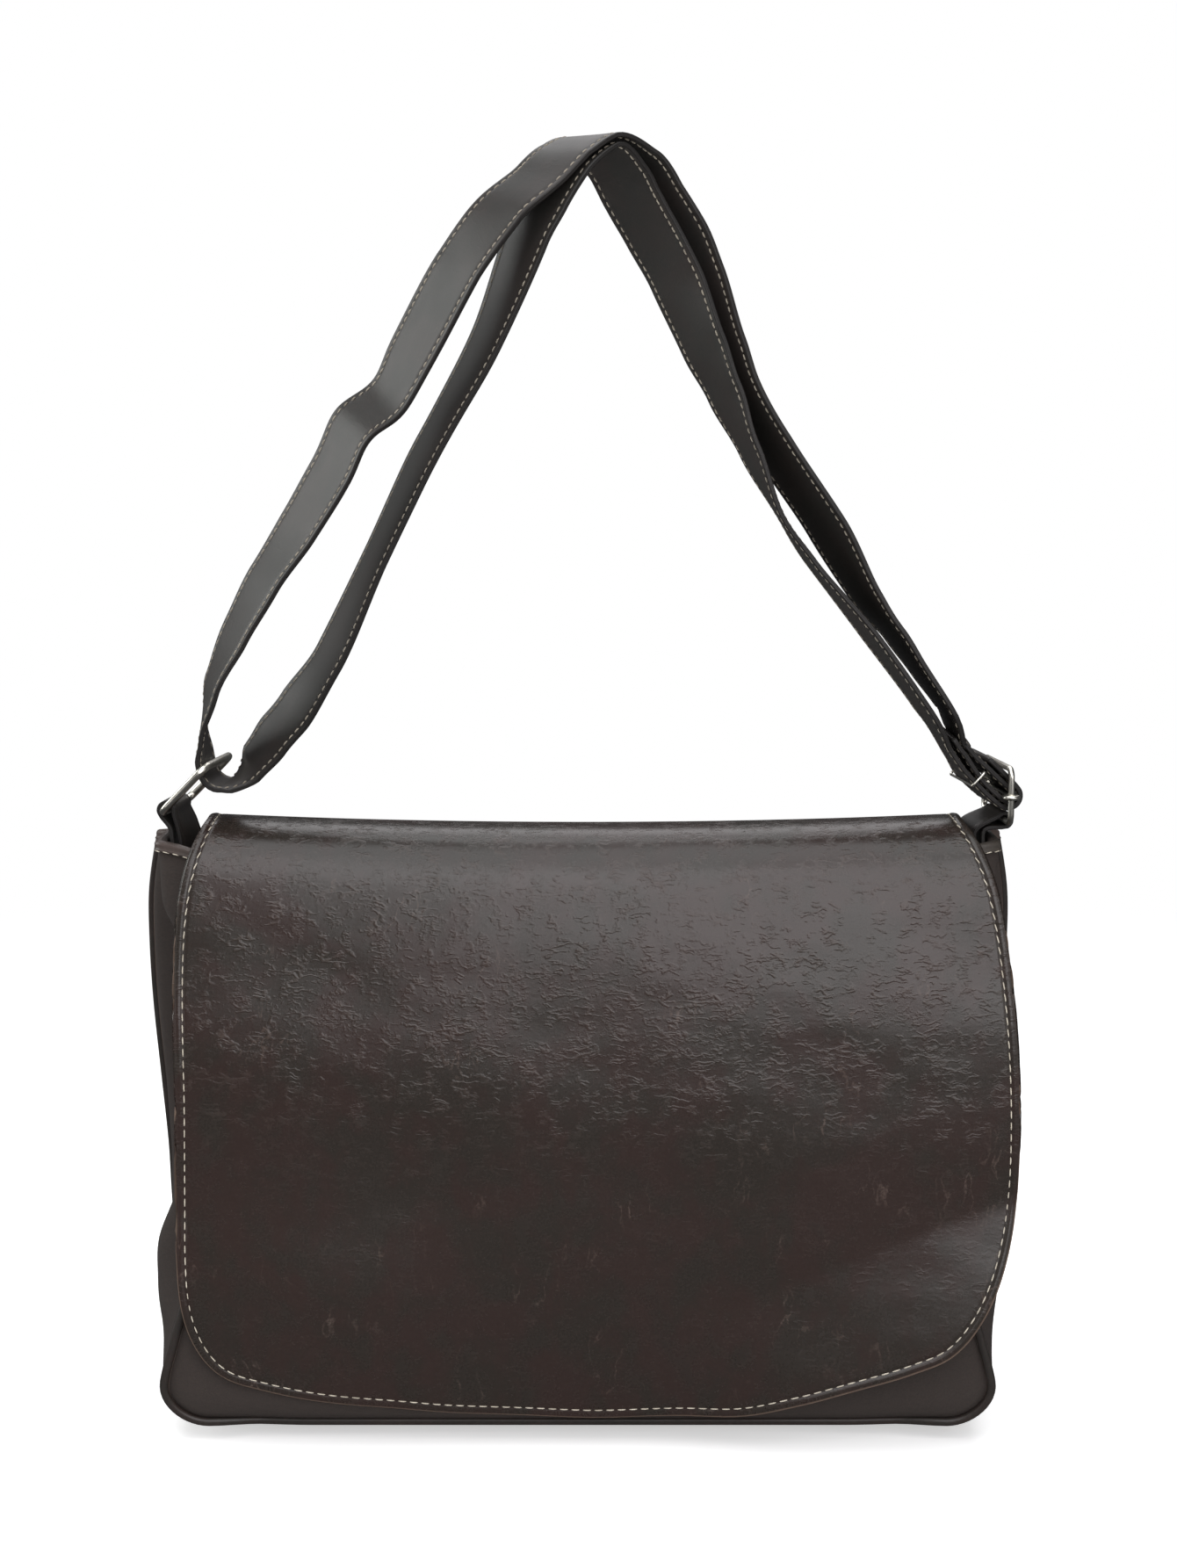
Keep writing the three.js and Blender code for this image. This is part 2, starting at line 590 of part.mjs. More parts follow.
function tabRows(side, bar, wire, turn) {
  const outerStrand = WALL / 2 + BINDING_SLACK + BINDING_WALL + 2 * CLEARANCE + TAB_WALL / 2;
  const innerStrand = outerStrand + TAB_WALL + CLEARANCE;
  const radius = wire + 2 * CLEARANCE + TAB_WALL / 2;
  const sewn = (height, strand) => {
    const wallX = sidePoint(1, Math.min(height, gussetTop(GUSSET_MIDDLE)), GUSSET_MIDDLE).x;
    return { x: wallX - strand, z: height, turn: 0 };
  };
  const heights = [TAB_LOW, TAB_LOW + TAB_RISE, TAB_LOW + 2 * TAB_RISE];
  const rows = heights.map((height, k) => (
    { ...sewn(height, innerStrand + TAB_OPEN[k].spread), turn: turn * TAB_OPEN[k].turn }));
  const neck = { x: sewn(TAB_NECK, outerStrand).x, z: TAB_NECK };
  const lean = Math.atan2(bar.z - neck.z, bar.x - neck.x);
  rows.push({ x: sewn(TAB_NECK, innerStrand + TAB_NECK_OPEN.spread).x, z: TAB_NECK, turn: turn * TAB_NECK_OPEN.turn });
  for (let k = 0; k <= TAB_LOOP.steps; k += 1) {
    const angle = lean + radians(TAB_LOOP.start - (k * TAB_LOOP.sweep) / TAB_LOOP.steps);
    const reach = radius * Math.cos(angle);
    rows.push({
      x: bar.x + reach * Math.cos(radians(turn)),
      y: side * reach * Math.sin(radians(turn)),
      z: bar.z + radius * Math.sin(angle),
      turn,
    });
  }
  rows.push({ x: neck.x, z: neck.z, turn: turn * TAB_NECK_TURN });
  for (const height of [...heights].reverse()) rows.push(sewn(height, outerStrand));
  return rows.map((row) => ({ x: side * row.x, y: HANG_Y + (row.y ?? 0), z: row.z, turn: row.turn }));
}

// Strap rows near the slider: along the strands from the sliding bar and across them
const strandDirection = { x: -Math.cos(radians(SLIDER_RISE)), z: Math.sin(radians(SLIDER_RISE)) };
const strandSide = { x: Math.sin(radians(SLIDER_RISE)), z: Math.cos(radians(SLIDER_RISE)) };

function sliderRow(along, across) {
  const reach = along * strandDirection.x + across * strandSide.x;
  return {
    x: SLIDER.x + reach * Math.cos(radians(SLIDER_TURN)),
    y: HANG_Y + reach * Math.sin(radians(SLIDER_TURN)),
    z: SLIDER.z + along * strandDirection.z + across * strandSide.z,
    turn: SLIDER_TURN,
  };
}

function sliderLoop(radius) {
  const rows = [];
  for (let k = 0; k <= LOOP_STEPS; k += 1) {
    const angle = Math.PI * (k / LOOP_STEPS);
    rows.push(sliderRow(-radius * Math.sin(angle), -radius * Math.cos(angle)));
  }
  return rows;
}

// The strap's long runs, row by row from the slider up over the peg, through the ring and back
const STRAP_OUTER = [
  { x: 159.4, y: -3.0, z: -248.2, turn: 6 },
  { x: 147.6, y: -1.5, z: -231.0, turn: 9 },
  { x: 136.3, y: 0.0, z: -214.7, turn: 13 },
  { x: 123.8, y: 2.0, z: -198.4, turn: 19 },
  { x: 104.8, y: 4.0, z: -165.9, turn: 27 },
  { x: 81.4, y: 7.0, z: -131.4, turn: 28 },
  { x: 65.8, y: 9.0, z: -106.1, turn: 30 },
  { x: 57.2, y: 11.0, z: -84.7, turn: 33 },
  { x: 46.5, y: 13.0, z: -54.3, turn: 38 },
  { x: 38.6, y: 14.0, z: -35.8, turn: 40 },
  { x: 28.8, y: 14.0, z: -20.6, turn: 43 },
  { x: 17.0, y: 11.5, z: -3.6, turn: 44 },
  { x: 0.0, y: 0.0, z: 5.4, turn: 46 },
  { x: -12.0, y: -8.2, z: -0.4, turn: 46 },
  { x: -25.0, y: -13.5, z: -12.8, turn: 45 },
  { x: -40.8, y: -14.5, z: -26.3, turn: 43 },
  { x: -58.5, y: -13.5, z: -49.3, turn: 40 },
  { x: -85.0, y: -11.0, z: -95.6, turn: 39 },
  { x: -103.1, y: -9.0, z: -118.9, turn: 38 },
  { x: -118.0, y: -7.0, z: -142.4, turn: 37 },
  { x: -132.5, y: -6.0, z: -165.9, turn: 35 },
  { x: -148.3, y: -5.0, z: -189.6, turn: 30 },
  { x: -161.7, y: -3.0, z: -213.5, turn: 25 },
  { x: -172.8, y: -2.0, z: -237.4, turn: 16 },
  { x: -177.6, y: 2.0, z: -258.0, turn: 5 },
];
const STRAP_TURN = [
  { x: -177.4, y: 3.5, z: -271.0, turn: -3 },
  { x: -174.6, y: 3.5, z: -279.8, turn: -3 },
  { x: -168.6, y: 3.5, z: -283.4, turn: -3 },
  { x: -161.8, y: 3.0, z: -280.2, turn: 14 },
];
const STRAP_INNER = [
  { x: -154.4, y: 2.0, z: -271.6, turn: 28 },
  { x: -145.4, y: 0.5, z: -260.4, turn: 33 },
  { x: -135.3, y: -1.0, z: -248.2, turn: 33 },
  { x: -120.0, y: -4.0, z: -225.4, turn: 25 },
  { x: -97.2, y: -7.0, z: -177.8, turn: 20 },
  { x: -74.1, y: -9.0, z: -130.6, turn: 22 },
  { x: -48.1, y: -12.0, z: -84.0, turn: 25 },
  { x: -29.2, y: -13.5, z: -37.8, turn: 33 },
  { x: -22.0, y: -12.5, z: -22.0, turn: 40 },
  { x: -12.0, y: -8.5, z: -6.5, turn: 44 },
  { x: 0.0, y: 0.0, z: 1.2, turn: 46 },
  { x: 10.5, y: 8.0, z: -8.5, turn: 44 },
  { x: 17.5, y: 11.5, z: -21.0, turn: 43 },
  { x: 26.1, y: 13.0, z: -35.8, turn: 41 },
  { x: 36.3, y: 12.5, z: -54.3, turn: 38 },
  { x: 49.2, y: 10.5, z: -84.7, turn: 31 },
  { x: 58.9, y: 9.0, z: -106.1, turn: 23 },
  { x: 70.1, y: 7.0, z: -131.4, turn: 12 },
  { x: 85.1, y: 5.0, z: -162.4, turn: 0 },
  { x: 97.8, y: 4.0, z: -181.3, turn: 4 },
  { x: 124.7, y: 0.0, z: -214.7, turn: 9 },
  { x: 149.3, y: -3.0, z: -248.2, turn: 7 },
];
// Strap layers by the slider: place along the strands and across them for each layer
const TURNED_BACK_END = [
  { along: 36, across: 3.0, turn: 2 },
  { along: 31, across: 1.8, turn: 2 },
  { along: 25, across: 0.6, turn: 3 },
];
const OUTER_LAYER = [
  { along: 25, across: 3.8, turn: 3 },
  { along: 33, across: 5.4, turn: 2 },
];
const INNER_LAYER = [
  { along: 35, across: -1.2, turn: 2 },
  { along: 25, across: -3.8, turn: 3 },
];
const LAYERS_END = 14;
const TONGUE_END = 18;
const LOOP_SPREAD = 0.1;
const TONGUE_LIFT = 0.6;
const layerRows = (table) => table.map(({ along, across, turn }) => ({ ...sliderRow(along, across), turn }));

const STRAP_ROWS = [
  ...layerRows(TURNED_BACK_END),
  sliderRow(LAYERS_END, -LOOP_INNER - LOOP_SPREAD),
  ...sliderLoop(LOOP_INNER),
  sliderRow(LAYERS_END, LOOP_INNER + LOOP_SPREAD),
  ...layerRows(OUTER_LAYER), ...STRAP_OUTER, ...STRAP_TURN, ...STRAP_INNER, ...layerRows(INNER_LAYER),
  sliderRow(LAYERS_END, -LOOP_OUTER - 2 * LOOP_SPREAD),
  ...sliderLoop(LOOP_OUTER),
  sliderRow(TONGUE_END, LOOP_OUTER + TONGUE_LIFT),
];

// Rivet through the strap's turned back end
const RIVET = { along: 29, across: 3.0, forward: 9, grip: 6.3, shank: 1.4, head: 3.0, rise: 0.6, tilt: 36, turn: 2.5 };
const RIVET_DOME = [
  { reach: 0, rise: 1 },
  { reach: 0.6, rise: 0.85 },
  { reach: 1, rise: 0.4 },
  { reach: 1, rise: 0 },
];
// Wire keeper round the two inner layers
const KEEPER = { along: 16, across: -3.9, high: 4.1, wide: 20.2, wire: 0.6, corner: 1.4 };

const part = new THREE.Group();
part.name = 'briefcase';

const bag = new THREE.Group();
bag.name = 'bag';
bag.position.set(BAG_CENTRE_X, 0, BASE_SEAM_Z);
part.add(bag);

const depthAxis = new THREE.Vector3(0, 1, 0);
const BACK_ROWS = 8;
const FRONT_ROWS = 10;

bag.add(sheet(panelGrid(backPoint, backTop, BACK_ROWS), WALL, leather(), 'back_panel'));
const frontWall = panelGrid(frontPoint, frontTop, FRONT_ROWS);
const gussetWall = gussetGrid();
bag.add(sheet(frontWall, WALL, leather(), 'front_panel'));
bag.add(sheet(gussetWall, WALL, leather(), 'gusset'));
bag.add(tube(seamLine('frontHalf', 'frontY', FRONT_PIPING_TOP), PIPING_RADIUS, PIPING_SIDES, depthAxis, false,
  pipingLeather(), 'front_piping'));
bag.add(tube(seamLine('backHalf', 'backY', BACK_PIPING_TOP), PIPING_RADIUS, PIPING_SIDES, depthAxis, false,
  pipingLeather(), 'back_piping'));
bag.add(loft(bindingSections(gussetWall, frontWall), [[0, 1, 6, 7], [1, 2, 5, 6], [2, 3, 4, 5]], leatherLight(), 'top_binding'));
bag.add(sheet(flapGrid(), FLAP_WALL, leatherLight(), 'flap'));

const inBag = (bar) => ({ x: bar.x - BAG_CENTRE_X, z: bar.z - BASE_SEAM_Z });
const leftBar = inBag(RING_TAB_BAR);
const rightBar = inBag({ x: SLIDER.x, z: SLIDER.z - SLIDER_BELOW });
bag.add(ribbon(tabRows(-1, { x: -leftBar.x, z: leftBar.z }, RING_WIRE, RING_TURN), TAB_WIDTH, TAB_WALL, TAB_STEP,
  leatherLight(), 'tab_left'));
bag.add(ribbon(tabRows(1, rightBar, SLIDER_WIRE, SLIDER_TURN), TAB_WIDTH, TAB_WALL, TAB_STEP,
  leatherLight(), 'tab_right'));

// Ring of the left tab
const turned = (degrees) => new THREE.Vector3(-Math.sin(radians(degrees)), Math.cos(radians(degrees)), 0);
const ringLength = turned(RING_TURN);
const ringSlope = new THREE.Vector3(RING_STRAP_BAR.x - RING_TAB_BAR.x, 0, RING_STRAP_BAR.z - RING_TAB_BAR.z);
const ringReach = ringSlope.length();
ringSlope.normalize().addScaledVector(ringLength, -ringSlope.dot(ringLength)).normalize();
const ringCentre = new THREE.Vector3((RING_TAB_BAR.x + RING_STRAP_BAR.x) / 2, HANG_Y, (RING_TAB_BAR.z + RING_STRAP_BAR.z) / 2);
part.add(tube(roundedLoop(ringCentre, ringLength, ringSlope, RING_INNER_LENGTH / 2 + RING_WIRE, ringReach / 2, RING_CORNER),
  RING_WIRE, WIRE_SIDES, ringLength.clone().cross(ringSlope), true, silver(), 'ring_left'));

// Slider of the right tab: a wire frame and a bar whose eyes ride on its sides
const sliderLength = turned(SLIDER_TURN);
const vertical = new THREE.Vector3(0, 0, 1);
const frameCentre = new THREE.Vector3(SLIDER.x, HANG_Y, SLIDER.z + (SLIDER_ABOVE - SLIDER_BELOW) / 2);
const frameHalf = SLIDER_INNER_LENGTH / 2 + SLIDER_WIRE;
part.add(tube(roundedLoop(frameCentre, sliderLength, vertical, frameHalf, (SLIDER_ABOVE + SLIDER_BELOW) / 2, SLIDER_CORNER),
  SLIDER_WIRE, WIRE_SIDES, sliderLength.clone().cross(vertical), true, silver(), 'slider_frame'));

const eyeRadius = SLIDER_WIRE + CLEARANCE + SLIDER_EYE_WIRE;
const eye = plain(new THREE.TorusGeometry(eyeRadius, SLIDER_EYE_WIRE, WIRE_SIDES, EYE_STEPS));
const barHalf = frameHalf - eyeRadius;
const bar = plain(new THREE.CylinderGeometry(SLIDER_BAR, SLIDER_BAR, 2 * barHalf, ROUND_SIDES));
const eyeAt = (side) => toManifold(eye.clone().translate(0, side * frameHalf, 0));
const barBody = toManifold(bar).add(eyeAt(-1)).add(eyeAt(1));
const sliderBar = fromManifold(barBody, silver(), 'slider_bar');
sliderBar.geometry.rotateZ(radians(SLIDER_TURN)).translate(SLIDER.x, HANG_Y, SLIDER.z);
part.add(sliderBar);

// Rivet and the hole it fills
const rivetProfile = RIVET_DOME.map(({ reach, rise }) => (
  new THREE.Vector2(RIVET.head * reach, -RIVET.grip / 2 - RIVET.rise * rise)));
rivetProfile.push(new THREE.Vector2(RIVET.shank, -RIVET.grip / 2));
rivetProfile.push(...rivetProfile.map((point) => new THREE.Vector2(point.x, -point.y)).reverse());
const rivetRow = sliderRow(RIVET.along, RIVET.across);
const rivetCentre = new THREE.Vector3(rivetRow.x, rivetRow.y, rivetRow.z)
  .addScaledVector(turned(RIVET.turn), -RIVET.forward);
const place = new THREE.Matrix4().makeTranslation(rivetCentre)
  .multiply(new THREE.Matrix4().makeRotationZ(radians(RIVET.turn)))
  .multiply(new THREE.Matrix4().makeRotationY(radians(90 - RIVET.tilt)));
const lying = new THREE.Matrix4().makeRotationX(Math.PI / 2);
const rivetGeometry = plain(new THREE.LatheGeometry(rivetProfile, ROUND_SIDES)).applyMatrix4(lying).applyMatrix4(place);
const holeRadius = RIVET.shank + CLEARANCE;
const holeGeometry = plain(new THREE.CylinderGeometry(holeRadius, holeRadius, RIVET.grip + RIVET.rise, ROUND_SIDES))
  .applyMatrix4(lying).applyMatrix4(place);

const strap = ribbon(STRAP_ROWS, STRAP_WIDTH, STRAP_WALL, STRAP_STEP, leatherLight(), 'strap');
part.add(fromManifold(toManifold(strap.geometry).subtract(toManifold(holeGeometry)), leatherLight(), 'strap'));

const rivet = new THREE.Mesh(mergeVertices(rivetGeometry, 1e-4), darkMetal());
rivet.name = 'rivet';
part.add(rivet);

// Keeper
const keeperRow = sliderRow(KEEPER.along, KEEPER.across);
const keeperCentre = new THREE.Vector3(keeperRow.x, keeperRow.y, keeperRow.z);
const keeperSide = new THREE.Vector3(strandSide.x * Math.cos(radians(SLIDER_TURN)),
  strandSide.x * Math.sin(radians(SLIDER_TURN)), strandSide.z);
part.add(tube(roundedLoop(keeperCentre, sliderLength, keeperSide, KEEPER.wide, KEEPER.high, KEEPER.corner),
  KEEPER.wire, WIRE_SIDES, sliderLength.clone().cross(keeperSide), true, silver(), 'keeper'));

export default part;
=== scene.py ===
"""Soft leather briefcase with a full front flap, hung by its doubled shoulder strap."""

import math

import bpy
import mathutils
import numpy as np
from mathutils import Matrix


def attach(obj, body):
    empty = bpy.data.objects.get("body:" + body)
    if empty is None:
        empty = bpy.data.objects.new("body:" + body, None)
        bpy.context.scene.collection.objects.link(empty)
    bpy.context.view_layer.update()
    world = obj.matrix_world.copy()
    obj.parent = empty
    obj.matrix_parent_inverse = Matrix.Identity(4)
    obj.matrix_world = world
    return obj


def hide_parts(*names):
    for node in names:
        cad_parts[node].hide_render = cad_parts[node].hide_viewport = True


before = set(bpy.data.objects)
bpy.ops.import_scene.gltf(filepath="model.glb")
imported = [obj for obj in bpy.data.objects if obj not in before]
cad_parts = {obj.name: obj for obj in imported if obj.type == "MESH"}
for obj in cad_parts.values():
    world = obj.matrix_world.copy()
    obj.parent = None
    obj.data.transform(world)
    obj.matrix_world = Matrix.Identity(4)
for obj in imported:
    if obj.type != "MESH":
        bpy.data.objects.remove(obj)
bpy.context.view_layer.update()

# Sizes are millimetres, as in the part's source, and become metres when a mesh is made
MM = 0.001
BAG_PLACE = np.array((-7.2, 0, -568))
WALL = 2
FLAP_WALL = 2.3
TAB_WALL = 2
BINDING_WALL = 1.2
BINDING_SLACK = 1
BINDING_END = 0.72
BINDING_END_RUN = 12
BINDING_SHOWN = 3
PIPING_RADIUS = 2
PIPING_BELOW = 2.5
SEAM_GAP = 0.95
CLEARANCE = 0.4

# The bag level by level: half widths at the front and back seams, how far the side puffs out between
# them, and the depth of the two seams
LEVELS = {
    "height": (0, 18, 41, 62, 82, 106, 141, 176, 206, 232, 262),
    "front_half": (187, 186.9, 181, 175, 172, 170, 168.5, 167, 166, 165.5, 165),
    "back_half": (187, 188.8, 191, 193, 194, 194.8, 197.5, 200, 200.8, 199.8, 194.5),
    "puff": (1.8, 1, 3, 7, 8, 3, -6, -8, -4, 4, 9.3),
    "front_y": (-46, -49, -50, -49.5, -48.5, -47, -45.5, -42, -37, -31.5, -25),
    "back_y": (44, 46, 47, 47, 47, 46, 44.5, 42, 39.5, 36, 32.5),
}
CORNER = 20
BASE_SAG = 1.2
SAG_HALF = 170
SAG_RUN = 50
SAG_FADE = 60
PUFF_RAMP = 0.22
GUSSET_MIDDLE = 0.5
FRONT_BELLY = 6
BACK_BELLY = 4
GUSSET_TOP_ACROSS = (0, 0.12, 0.22, 0.5, 0.78, 1)
GUSSET_TOP_HEIGHT = (252.5, 258.5, 260, 260, 260, 258)
FRONT_TOP = 245
FRONT_TOP_SAG = 3
BACK_TOP = 240
BACK_EAR = 18
BACK_EAR_START = 0.9
BACK_EAR_RUN = 0.06
FRONT_PIPING_TOP = FRONT_TOP - BINDING_SHOWN - PIPING_BELOW
BACK_PIPING_TOP = 255.3
# Each panel's way out, its belly and the height that the belly ends at
PANELS = {"front": (-1, FRONT_BELLY, FRONT_TOP), "back": (1, BACK_BELLY, BACK_TOP)}
# Along the base the front seam lies further back, under the lower edge of the panel
BASE_TUCK = 4.5
TUCK_HALF = 168
TUCK_RUN = 26
TUCK_FADE = 9
TUCK_LOW = 1.5
TUCK_ACROSS = 0.3
# The leather runs in under the piping and turns inward there
SEAM_REACH = 1.2
SEAM_CURL = 2.2
SEAM_CURL_RUN = 5
# Inward fold of the side walls: depth, then where it starts and ends up the wall and across it
SIDE_FOLD = 13
SIDE_FOLD_LOW = 66
SIDE_FOLD_LOW_RUN = 46
SIDE_FOLD_HIGH = 206
SIDE_FOLD_HIGH_RUN = 30
SIDE_FOLD_FRONT_RUN = 0.5
SIDE_FOLD_BACK = 0.66
SIDE_FOLD_BACK_RUN = 0.3
GUSSET_UNEVEN = 0.35
GUSSET_CALM = 14

# Flap
FLAP_HALF = 187.5
FOLD_HALF = 170.7
FLAP_LEFT_FLARE = 34
FLAP_RIGHT_FLARE = 22
FLAP_DROP = 286
FLAP_STRAIGHT = 171
FLAP_SIDE_LEAN = 7
FLAP_LEFT_POWER = 4
FLAP_RIGHT_POWER = 3.1
FLAP_LEAN = 0.048
FLAP_SHIFT = 3
FLAP_DRIFT = 5.8
FLAP_DRIFT_RUN = 130
FLAP_BACK = 82
FLAP_OFF_FRONT = 5.6
FLAP_OFF_BACK = 3.8
FOLD_BASE = 240
FOLD_RISE = 30
FOLD_SAG = 4.5
FOLD_SAG_FADE = 70
FLAP_LINE_STEP = 4
FLAP_LINE_END = -30
FOLD_JOIN = 205
FOLD_HIGH_PULL = 33
FOLD_LOW_PULL = 48
FLAP_BELLY_TOP = 262
# The lower right of the flap stands off further and further below a slanting line
KICK_SLOPE = 0.2
KICK_EASE = 9
KICK_START = 198
KICK_SLANT = 0.38
KICK_SIDE = 160
KICK_FROM = 15
KICK_RUN = 90
# How much lower the hem hangs than its even curve, across the width
HEM_TRIM_PART = (-1, -0.91, -0.8, -0.66, -0.5, -0.36, -0.2, 0, 0.2, 0.34, 0.48, 0.62, 0.75, 0.85, 0.93, 1)
HEM_TRIM_DROP = (0, 0, -4.3, -5.4, -4.9, -2.3, 0, 3.3, 3.3, 4.4, 1.8, 0.8, 3.6, 7.8, 6, 0)
# Soft swells: place across, drop from the fold, spread across, spread down, how far out
FLAP_SWELLS = (
    (-118, 236, 62, 34, 5.6),
    (112, 190, 70, 42, 0.8),
    (-10, 150, 60, 46, -1.6),
    (60, 62, 80, 26, 1.6),
)
# The same for the front panel, by its height
PANEL_SWELLS = ((-140, 4, 70, 28, 3.6), (140, 4, 70, 28, 3.6))
PANEL_SWELL_RUN = 12
FLAP_INSET = 3.6
FLAP_PITCH = 5.2
FLAP_GROOVE = 0.4
FLAP_GROOVE_HALF = 0.75
FLAP_ROLL = 0.35
FLAP_UNEVEN = 0.4
FLAP_FINE_UNEVEN = 0.07
FLAP_CALM = 30
FLAP_THREAD_SHARE = 0.7
THREAD_SHARE = 0.78
FINE_THREAD = 0.29
FLAP_STITCH_DEPTH = 0.2
STRAP_STITCH_DEPTH = 0.25

# Strap, tabs and metal
STRAP_WIDTH = 38
STRAP_WALL = 2.4
STRAP_INSET = 3.4
STRAP_PITCH = 3.8
STRAP_GROOVE = 0.3
STRAP_THREAD = 0.42
KINK_SPOT = (-97, 0, -117)
KINK_SPREAD = 11
KINK_SIZE = 2.6
HANG_Y = 3.5
RING_WIRE = 1.8
RING_TAB_BAR = (-191.7, -293.4)
RING_STRAP_BAR = (-171, -272.4)
RING_INNER = 41
RING_CORNER = 5
RING_TURN = -8
SLIDER_X = 184.6
SLIDER_Z = -286
SLIDER_TURN = 7
SLIDER_RISE = 43
SLIDER_WIRE = 1.4
SLIDER_BAR = 1.2
SLIDER_ABOVE = 12.6
SLIDER_BELOW = 11.9
SLIDER_INNER = 43.4
SLIDER_CORNER = 4
EYE_WIRE = 1.1
LOOP_GAP = 0.35
LAYER_GAP = 0.45
LOOP_INNER = SLIDER_BAR + LOOP_GAP + STRAP_WALL / 2
LOOP_OUTER = LOOP_INNER + STRAP_WALL + LAYER_GAP
TAB_WIDTH = 27
TAB_INSET = 2.6
TAB_GROOVE = 0.2
TAB_LOW = 234
TAB_RISE = 12
TAB_NECK = 265.6
TAB_NECK_TURN = 0.3
# The tab's inner strand stands off the outer one and is turned further, row by row and at the neck
TAB_SPREAD = (0, 5, 4.4, 2.8)
TAB_EXTRA_TURN = (0, 1.6, 1.7, 1.4)
TAB_LOOP_START = 115
TAB_LOOP_SWEEP = 245
TAB_LOOP_STEPS = 6
LAYERS_END = 14
TONGUE_END = 18
LOOP_SPREAD = 0.1
TONGUE_LIFT = 0.6
LOOP_STEPS = 6
RIVET = {"along": 29, "across": 3, "forward": 9, "grip": 6.3, "shank": 1.4, "head": 3, "rise": 0.6,
         "tilt": 36, "turn": 2.5}
KEEPER = {"along": 16, "across": -3.9, "high": 4.1, "wide": 20.2, "wire": 0.6, "corner": 1.4}

# The strap's long runs: x, y, z and turn about the vertical in degrees
STRAP_OUTER = (
    (159.4, -3, -248.2, 6), (147.6, -1.5, -231, 9), (136.3, 0, -214.7, 13), (123.8, 2, -198.4, 19),
    (104.8, 4, -165.9, 27), (81.4, 7, -131.4, 28), (65.8, 9, -106.1, 30), (57.2, 11, -84.7, 33),
    (46.5, 13, -54.3, 38), (38.6, 14, -35.8, 40), (28.8, 14, -20.6, 43), (17, 11.5, -3.6, 44),
    (0, 0, 5.4, 46), (-12, -8.2, -0.4, 46), (-25, -13.5, -12.8, 45), (-40.8, -14.5, -26.3, 43),
    (-58.5, -13.5, -49.3, 40), (-85, -11, -95.6, 39), (-103.1, -9, -118.9, 38),
    (-118, -7, -142.4, 37), (-132.5, -6, -165.9, 35), (-148.3, -5, -189.6, 30),
    (-161.7, -3, -213.5, 25), (-172.8, -2, -237.4, 16), (-177.6, 2, -258, 5),
)
STRAP_TURN = (
    (-177.4, 3.5, -271, -3), (-174.6, 3.5, -279.8, -3), (-168.6, 3.5, -283.4, -3),
    (-161.8, 3, -280.2, 14),
)
STRAP_INNER = (
    (-154.4, 2, -271.6, 28), (-145.4, 0.5, -260.4, 33), (-135.3, -1, -248.2, 33),
    (-120, -4, -225.4, 25), (-97.2, -7, -177.8, 20), (-74.1, -9, -130.6, 22),
    (-48.1, -12, -84, 25), (-29.2, -13.5, -37.8, 33), (-22, -12.5, -22, 40),
    (-12, -8.5, -6.5, 44), (0, 0, 1.2, 46), (10.5, 8, -8.5, 44), (17.5, 11.5, -21, 43),
    (26.1, 13, -35.8, 41), (36.3, 12.5, -54.3, 38), (49.2, 10.5, -84.7, 31), (58.9, 9, -106.1, 23),
    (70.1, 7, -131.4, 12), (85.1, 5, -162.4, 0), (97.8, 4, -181.3, 4), (124.7, 0, -214.7, 9),
    (149.3, -3, -248.2, 7),
)
# Strap layers by the slider: along the strands, across them, turn
TURNED_BACK_END = ((36, 3, 2), (31, 1.8, 2), (25, 0.6, 3))
OUTER_LAYER = ((25, 3.8, 3), (33, 5.4, 2))
INNER_LAYER = ((35, -1.2, 2), (25, -3.8, 3))

# How finely the pieces are divided
RIM_STEPS = 3
RIM_BULGE = 0.55
RIM_CUT = 0.6
PIPING_SIDES = 14
WIRE_SIDES = 18
KEEPER_SIDES = 12
TURNED_SIDES = 28
STITCH_SIDES = 6
PANEL_COLUMNS = 110
PANEL_ROWS = 84
GUSSET_COLUMNS = 46
SIDE_ROWS = 100
CORNER_ROWS = 14
BASE_ROWS = 110
STRAP_STEP = 2.5
TAB_STEP = 1.6


def smooth(keys, values, place):
    """Value of a table at a place: a cubic between two rows, with slopes from their neighbours."""
    keys = np.asarray(keys, float)
    values = np.asarray(values, float)
    rows = np.arange(len(keys))
    below = np.maximum(rows - 1, 0)
    above = np.minimum(rows + 1, len(keys) - 1)
    slope = (values[above] - values[below]) / (keys[above] - keys[below])
    inside = np.clip(place, keys[0], keys[-1])
    row = np.clip(np.searchsorted(keys, inside) - 1, 0, len(keys) - 2)
    span = keys[row + 1] - keys[row]
    t = (inside - keys[row]) / span
    start = (2 * t**3 - 3 * t**2 + 1) * values[row] + (t**3 - 2 * t**2 + t) * span * slope[row]
    end = (3 * t**2 - 2 * t**3) * values[row + 1] + (t**3 - t**2) * span * slope[row + 1]
    return start + end


def level(height, column):
    """A column of the bag's level table at a height."""
    return smooth(LEVELS["height"], LEVELS[column], height)


def ramp(edge, value):
    """Rises from 0 at zero to 1 at the edge, level at both ends."""
    t = np.clip(np.asarray(value, float) / edge, 0, 1)
    return t * t * (3 - 2 * t)


def between(start, end, share):
    """A share of the way from start to end."""
    return start + (end - start) * share


def vectors(*parts):
    """Vectors from their parts, each spread to the shape of all."""
    return np.stack(np.broadcast_arrays(*parts), axis=-1)


def unit(arrows):
    """Vectors brought to length one."""
    return arrows / np.maximum(np.linalg.norm(arrows, axis=-1, keepdims=True), 1e-12)


def square_to(arrows, along):
    """Directions of vectors once their share along other directions is taken off."""
    return unit(arrows - along * np.sum(arrows * along, axis=-1, keepdims=True))


